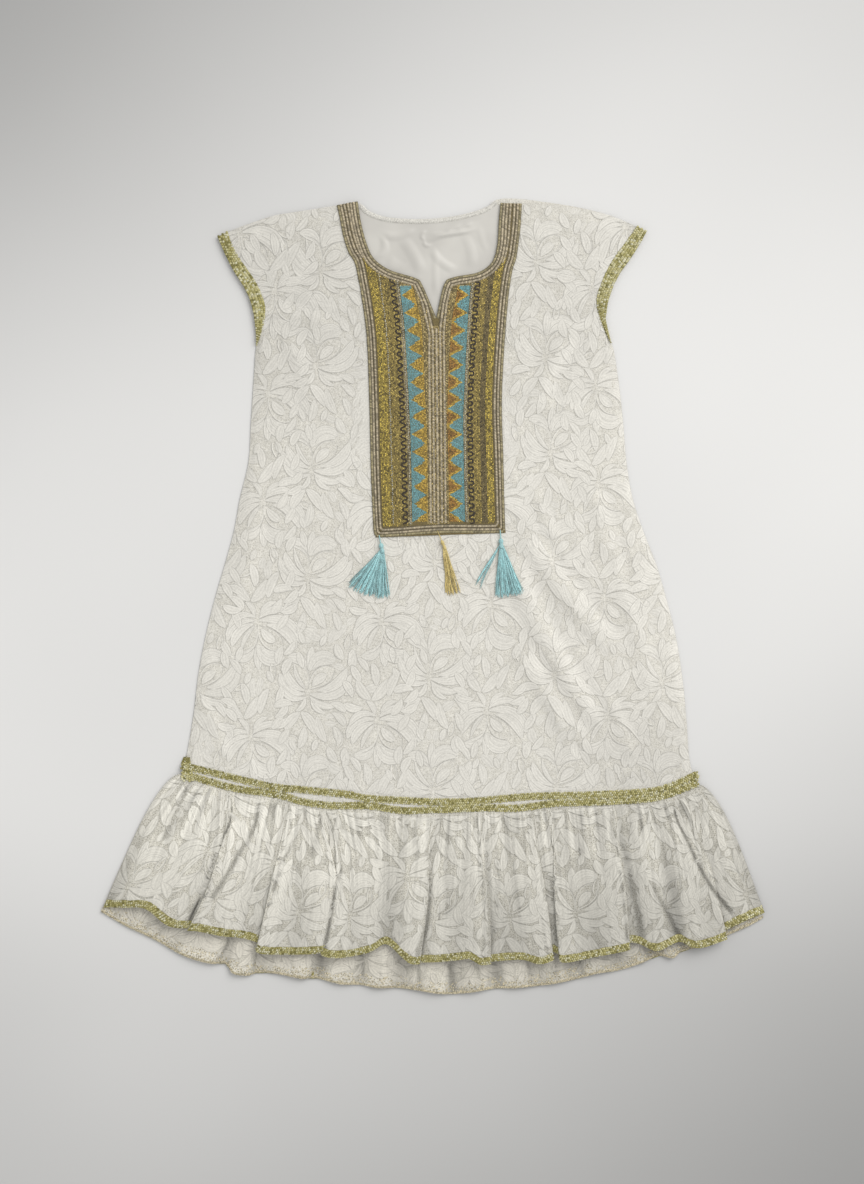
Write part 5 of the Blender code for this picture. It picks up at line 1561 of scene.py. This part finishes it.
# %% Bands and plain filling
BAND_TOP, BAND_BOTTOM, POINTS = 391.0 * MM, 98.0 * MM, 13
pitch = (BAND_TOP - BAND_BOTTOM) / POINTS
for side in ("left", "right"):
    y = np.arange(BAND_BOTTOM, BAND_TOP + 12.0 * MM, 1.75 * MM)
    for lane in range(BAND_LANES):
        share = (lane + 0.5) / BAND_LANES
        outer, inner = band_x[side + "_outer"](y), band_x[side + "_inner"](y)
        points = np.stack([mix(outer, inner, share), y + (lane % 2) * 0.9 * MM], -1)
        place = (BAND_TOP - points[:, 1]) / pitch
        reach = 0.10 + 0.82 * (1.0 - np.abs(2.0 * (place % 1.0) - 1.0))
        deep = share - reach
        gold = np.where((deep > 0.28)[:, None], CORE if side == "right" else GOLD * 0.85, GOLD)
        flecks = rng.choice((0.55, 0.95, 1.3), (len(points), 1), p=(0.22, 0.48, 0.30))
        tint = np.where((deep < 0.0)[:, None], TURQUOISE, gold * flecks)
        points = points + rng.normal(0.0, 0.12 * MM, points.shape)
        keep = clear_of_neck(points, 9.0 * MM)
        fill.add(points[keep], rng.uniform(-0.5, 0.5, keep.sum()), 2.3 * MM, 1.8 * MM, 0.8 * MM,
                 tint[keep], 0.28, 0.5)
    path = np.stack([band_x[side + "_outer"](y), y], -1)
    fill.rope(path[clear_of_neck(path, 9.0 * MM)], 1.2 * MM, 1.0 * MM, TURQUOISE * 0.5)

x, y = np.meshgrid(np.arange(-60.0, 70.0, 2.0) * MM, np.arange(92.0, 450.0, 1.9) * MM)
points = np.stack([x.ravel(), y.ravel()], -1) + rng.normal(0.0, 0.25 * MM, (x.size, 2))
x, y = points.T
in_columns = (x < band_x["left_outer"](y)) | (x > band_x["right_outer"](y))
in_bands = (y < BAND_TOP + 12.0 * MM) & ((x < band_x["left_inner"](y))
                                         | (x > band_x["right_inner"](y)))
keep = inside_bib(points, 10.0 * MM) & ~in_columns & ~in_bands
fill.add(points[keep], rng.uniform(0.9, 2.2, keep.sum()), 2.6 * MM, 1.7 * MM, 0.6 * MM,
         mix(SILVER, GOLD, 0.3) * rng.choice((0.4, 0.9, 1.4), (keep.sum(), 1)), 0.2, 0.35)
bib_stitches = fill.make("bib_stitches", flat_lay(ON_BIB), metal_thread)
bib_loops = loops.make("bib_loops", flat_lay(ON_BIB), silk_thread)

# %% [markdown]
# ## Neck binding
#
# A narrow white strip, cut on the bias so that it bends, covers the raw edge of the back neck.
# A curve with a flat bevel could do for it. A strip with five heights across is as short to
# write, is rounded at its edges, and carries the same stitches for its small ribs.

# %% Neck binding
xs = np.linspace(NECK_LEFT, NECK_RIGHT, 90)
binding_path = np.stack([xs, back_top_y(xs) - 3.75 * MM], -1)
WHITE = np.array([0.66, 0.645, 0.595])
binding = ruled_strip("neck_binding", offset(binding_path, -3.2 * MM),
                      offset(binding_path, 3.2 * MM), flat_lay(FRONT_LEVEL),
                      (-0.4, 0.5, 0.8, 0.5, -0.4), WHITE, silk_thread)
ribs = Stitches()
ribs.rope(binding_path, 5.6 * MM, 0.5 * MM, WHITE, pitch=1.8 * MM, slant=1.35, spread=0.06,
          rim=0.75)
binding_ribs = ribs.make("binding_ribs", flat_lay(FRONT_LEVEL + 0.5 * MM), silk_thread)

# %% [markdown]
# ## Tassels
#
# Each tassel has a short cord, a wound head and a fan of separate strands that lie on the lace.
# Hair curves could make the strands, but they aren't a mesh and would be lost in the export.
# Thin four-sided tubes are light enough for a few dozen, and each leans, sways and is tinted a
# little differently, which is what makes thread look loose.

# %% Tubes
TASSELS = {
    # hang x, y, head x, y, first and last angle, strands, length, angle of strays, colour
    "left": ((-68.5, 76), (-66.5, 66), (-42, 7), 96, 62, None, (0.36, 0.62, 0.64)),
    "centre": ((8, 82), (13, 70), (4, 17), 34, 62, None, (0.66, 0.53, 0.21)),
    "right": ((88, 83), (88.8, 72), (-7, 22), 84, 66, -32, (0.36, 0.62, 0.64))}


def tube(path, radii, sides_count):
    """Points and faces of a tube along a path of 3-D points."""
    path = np.asarray(path)
    way = np.gradient(path, axis=0)
    way /= np.linalg.norm(way, axis=1)[:, None]
    side = np.cross(way, (0.0, 0.0, 1.0))
    side /= np.maximum(np.linalg.norm(side, axis=1), 1e-9)[:, None]
    up = np.cross(side, way)
    turn = np.arange(sides_count) * 2.0 * math.pi / sides_count
    ring = (side[:, None, :] * np.cos(turn)[None, :, None]
            + up[:, None, :] * np.sin(turn)[None, :, None])
    points = path[:, None, :] + ring * np.asarray(radii)[:, None, None]
    index = np.arange(len(path) * sides_count).reshape(len(path), sides_count)
    nxt = np.roll(index, -1, axis=1)
    faces = np.stack([index[:-1], nxt[:-1], nxt[1:], index[1:]], -1).reshape(-1, 4)
    return points.reshape(-1, 3), faces


def on_lace(x, y):
    return front_height(x, y) + 0.8 * MM


print("strands:", {name: row[3] for name, row in TASSELS.items()})

# %% Tassels
# Place in mm down from the middle of the head, and the radius there
HEAD_PROFILE = ((-3.5, 0.8), (-2.6, 2.4), (0.0, 3.3), (2.4, 2.6), (3.2, 1.9), (4.2, 2.5),
                (7.0, 3.0), (9.0, 2.2))
ROOT_DOWN, ROOT_SPREAD, STRAYS = 5.0, 4.5, 6
tassels = {}
for name, (hang, head, fan, strands, length, stray, colour) in TASSELS.items():
    hang, head = np.array(hang) * MM, np.array(head) * MM
    way = (head - hang) / np.hypot(*(head - hang))
    level = float(on_lace(*head)) + 1.6 * MM
    stations = [(hang - way * 4.0 * MM, 0.6), (hang, 0.7),
                *((head + way * down * MM, wide) for down, wide in HEAD_PROFILE)]
    narrow = 0.72 if name == "centre" else 1.0
    path = np.array([(*p, level) for p, _ in stations])
    path[0, 2] = BIB_TOP + 1.2 * MM
    radii = np.array([r for _, r in stations]) * MM * narrow
    points, faces = tube(path, radii, 10)
    parts, quads, count = [points], [faces], len(points)
    tints = [np.full((len(points), 1), 0.9)]
    for k in range(strands):
        share = (k + 0.5) / strands
        angle = mix(fan[0], fan[1], share) + rng.normal(0.0, 1.2)
        reach = length * rng.uniform(0.93, 1.04)
        if stray is not None and k < STRAYS:
            angle, reach = stray + rng.normal(0.0, 2.5), length * rng.uniform(0.75, 0.95)
        turn = math.radians(angle - 90.0)
        aim = np.array([math.cos(turn), math.sin(turn)])
        side = np.array([-aim[1], aim[0]])
        root = (head + way * ROOT_DOWN * MM
                + np.array([-way[1], way[0]]) * (share - 0.5) * ROOT_SPREAD * MM * narrow)
        t = np.linspace(0.0, 1.0, 12)
        sway = rng.uniform(0.4, 1.1) * np.sin(t * rng.uniform(5.0, 9.0) + rng.uniform(0.0, 6.0))
        flat = root + np.outer(t * reach * MM, aim) + np.outer(sway * t * MM, side)
        stack = rng.uniform(0.4, 2.6) * MM
        z = mix(level, on_lace(flat[:, 0], flat[:, 1]) + stack * (1.0 - 0.4 * t),
                ease(t / 0.45))
        radius = np.full(len(t), 0.52 * MM)
        radius[-1] = 0.25 * MM
        points, faces = tube(np.column_stack([flat, z]), radius, 4)
        parts.append(points)
        quads.append(faces + count)
        count += len(points)
        twist = 1.0 + 0.22 * np.sin(np.repeat(t, 4) * 40.0 + k)
        tints.append((rng.uniform(0.6, 1.3) * twist)[:, None])
    tint = np.array(colour) * np.concatenate(tints)
    tassels[name] = build(f"tassel_{name}_threads", np.concatenate(parts), np.concatenate(quads),
                          silk_thread, tint=tint)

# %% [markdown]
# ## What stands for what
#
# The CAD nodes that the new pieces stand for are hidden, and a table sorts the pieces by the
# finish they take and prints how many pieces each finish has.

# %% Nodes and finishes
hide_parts("front_panel")
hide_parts("back_panel")
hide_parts("back_lining")
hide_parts("front_ruffle")
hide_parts("back_ruffle")
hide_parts("bib")
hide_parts("bib_frame_cords", "neck_cords_left", "neck_cords_right", "placket_cord")
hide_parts("turquoise_band_left", "turquoise_band_right", "gold_band_left",
            "gold_band_right")
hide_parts("back_neck_binding")
for name in ("upper", "lower"):
    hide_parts(f"waist_braid_{name}_front")
for name in ("left", "right"):
    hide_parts(f"cuff_braid_{name}_front")
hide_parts("hem_braid_front")
for name, made in tassels.items():
    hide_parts(f"tassel_{name}")

SLOTS = {"white_lace": (front_lace, back_lace, front_ruffle, back_ruffle, front_petals,
                        front_ruffle_petals, back_ruffle_petals),
         "white_satin": (neck_lining,), "white_binding": (binding, binding_ribs),
         "gold_embroidery": (bib_cloth, bib_stitches, bib_loops),
         "pale_cord": (bib_cords, picot_edge),
         "turquoise_silk": (tassels["left"], tassels["right"]), "gold_silk": (tassels["centre"],),
         "gold_braid": (hem_strip, hem_stitches, wrap_strip,
                        *(piece for pair in pieces.values() for piece in pair))}
for slot, members in SLOTS.items():
    print(f"{slot}: {len(members)} pieces")

# %% [markdown]
# ## Braids under the back
#
# The back has braids too, but the dress lies on them. Stitches nobody sees are left out: the CAD
# nodes stay and get a finish of the braid's colours, with a cell pattern for its weave.

# %% Braids under the back
def under_braid_material():
    material, tree, shader = new_material("under_braid", Roughness=0.45, Metallic=0.35)
    place = put(tree, "TexCoord").outputs["Object"]
    cells = put(tree, "TexVoronoi", Vector=place, Scale=480.0)
    colour = ramp(tree, cells.outputs["Distance"], (0.0, (0.62, 0.58, 0.27)),
                  (0.5, (0.30, 0.27, 0.08)), (1.0, (0.08, 0.07, 0.02)))
    tree.links.new(colour, shader.inputs["Base Color"])
    bump(tree, shader, cells.outputs["Distance"], 0.8, 0.0008)
    return material


under_braid = under_braid_material()
for node in ("cuff_braid_left_back", "cuff_braid_right_back", "waist_braid_upper_back",
             "waist_braid_lower_back", "hem_braid_back"):
    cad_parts[node].data.materials.clear()
    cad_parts[node].data.materials.append(under_braid)
    print(node, "keeps its solid")

# %% [markdown]
# ## Sizes of the cloth
#
# A dressmaker needs the flat size of each piece of cloth, and whether it lies flat or is gathered
# into less room. Here the mesh's own area of each sheet is printed.

# %% Sheets of cloth
def cloth_area(piece):
    return sum(face.area for face in piece.data.polygons)


for piece in (front_lace, back_lace, neck_lining, front_ruffle, back_ruffle, bib_cloth):
    print(piece.name, "has", round(cloth_area(piece), 4), "square metres of cloth")

# %% [markdown]
# ## Floor, light and camera
#
# The photo was taken from straight above, on a pale sheet, in soft light that fades towards the
# corners. A lamp with a narrow beam could make that fade, but would harden the shadows. So a
# large area light gives the soft shadows, and the floor has the fade in its own tone, as a
# product of slow slopes in seven directions.

# %% Floor
def deselect():
    for item in bpy.context.selected_objects:
        item.select_set(False)


# Direction, start and end of each slope in metres, and how much darker it gets
FLOOR_SLOPES = (
    ((-0.60, 0.80, 0.0), 0.28, 1.12, 0.50), ((0.62, -0.78, 0.0), 0.18, 1.12, 0.52),
    ((-0.62, -0.78, 0.0), 0.48, 1.12, 0.22), ((0.57, 0.82, 0.0), 0.40, 1.12, 0.22),
    ((0.0, 1.0, 0.0), 0.20, 0.75, 0.07), ((0.0, -1.0, 0.0), 0.25, 0.55, 0.12),
    ((-1.0, -0.3, 0.0), 0.15, 0.80, -0.10))
deselect()
bpy.ops.mesh.primitive_plane_add(size=6.0, location=(0.0, 0.0, -0.5 * MM))
floor = bpy.context.object
floor.name = "floor"
material, tree, shader = new_material("floor", Roughness=0.8)
place = put(tree, "TexCoord").outputs["Object"]
shade = None
for way, start, end, depth in FLOOR_SLOPES:
    along = put(tree, "VectorMath", {"operation": "DOT_PRODUCT"}, i0=place, i1=way)
    tone = remap(tree, along.outputs["Value"], start, end, 1.0, 1.0 - depth,
                 {"interpolation_type": "SMOOTHSTEP"})
    shade = tone if shade is None else product(tree, shade, tone)
pale = ramp(tree, noise(tree, place, 1.6), (0.3, (0.755, 0.755, 0.75)),
            (0.7, (0.79, 0.79, 0.785)))
paint(tree, shader, pale, shade)
floor.data.materials.append(material)
print("floor with", len(FLOOR_SLOPES), "slopes of tone")

# %% Light and camera
KEY_PLACE = (2.1, 2.1, 2.5)
WORLD_STRENGTH = 0.63
deselect()
bpy.ops.object.light_add(type="AREA", location=KEY_PLACE)
key = bpy.context.object
key.name = "soft_key"
key.data.size = 2.8
key.data.energy = 100.0
key.data.color = (1.0, 0.985, 0.965)
key.rotation_euler = (-key.location).to_track_quat("-Z", "Y").to_euler()

world = bpy.data.worlds.new("studio")
world.use_nodes = True
world.node_tree.nodes["Background"].inputs["Color"].default_value = (1.0, 0.995, 0.98, 1.0)
world.node_tree.nodes["Background"].inputs["Strength"].default_value = WORLD_STRENGTH
bpy.context.scene.world = world
bpy.context.scene.view_settings.view_transform = "Standard"

# The photo is 1184 pixels high at 1.3 mm each; the camera hangs over the middle of that frame
CAMERA_HEIGHT = 2.6
SENSOR = 36.0
FRAME_HEIGHT = 1184 * 1.3 * MM
deselect()
bpy.ops.object.camera_add(location=(-0.65 * MM, 6.24 * MM, CAMERA_HEIGHT), rotation=(0, 0, 0))
camera = bpy.context.object
camera.data.sensor_fit = "VERTICAL"
camera.data.sensor_height = SENSOR
camera.data.lens = SENSOR * CAMERA_HEIGHT / FRAME_HEIGHT
bpy.context.scene.camera = camera
print(f"camera {CAMERA_HEIGHT} m over the floor, lens {camera.data.lens:.1f} mm")
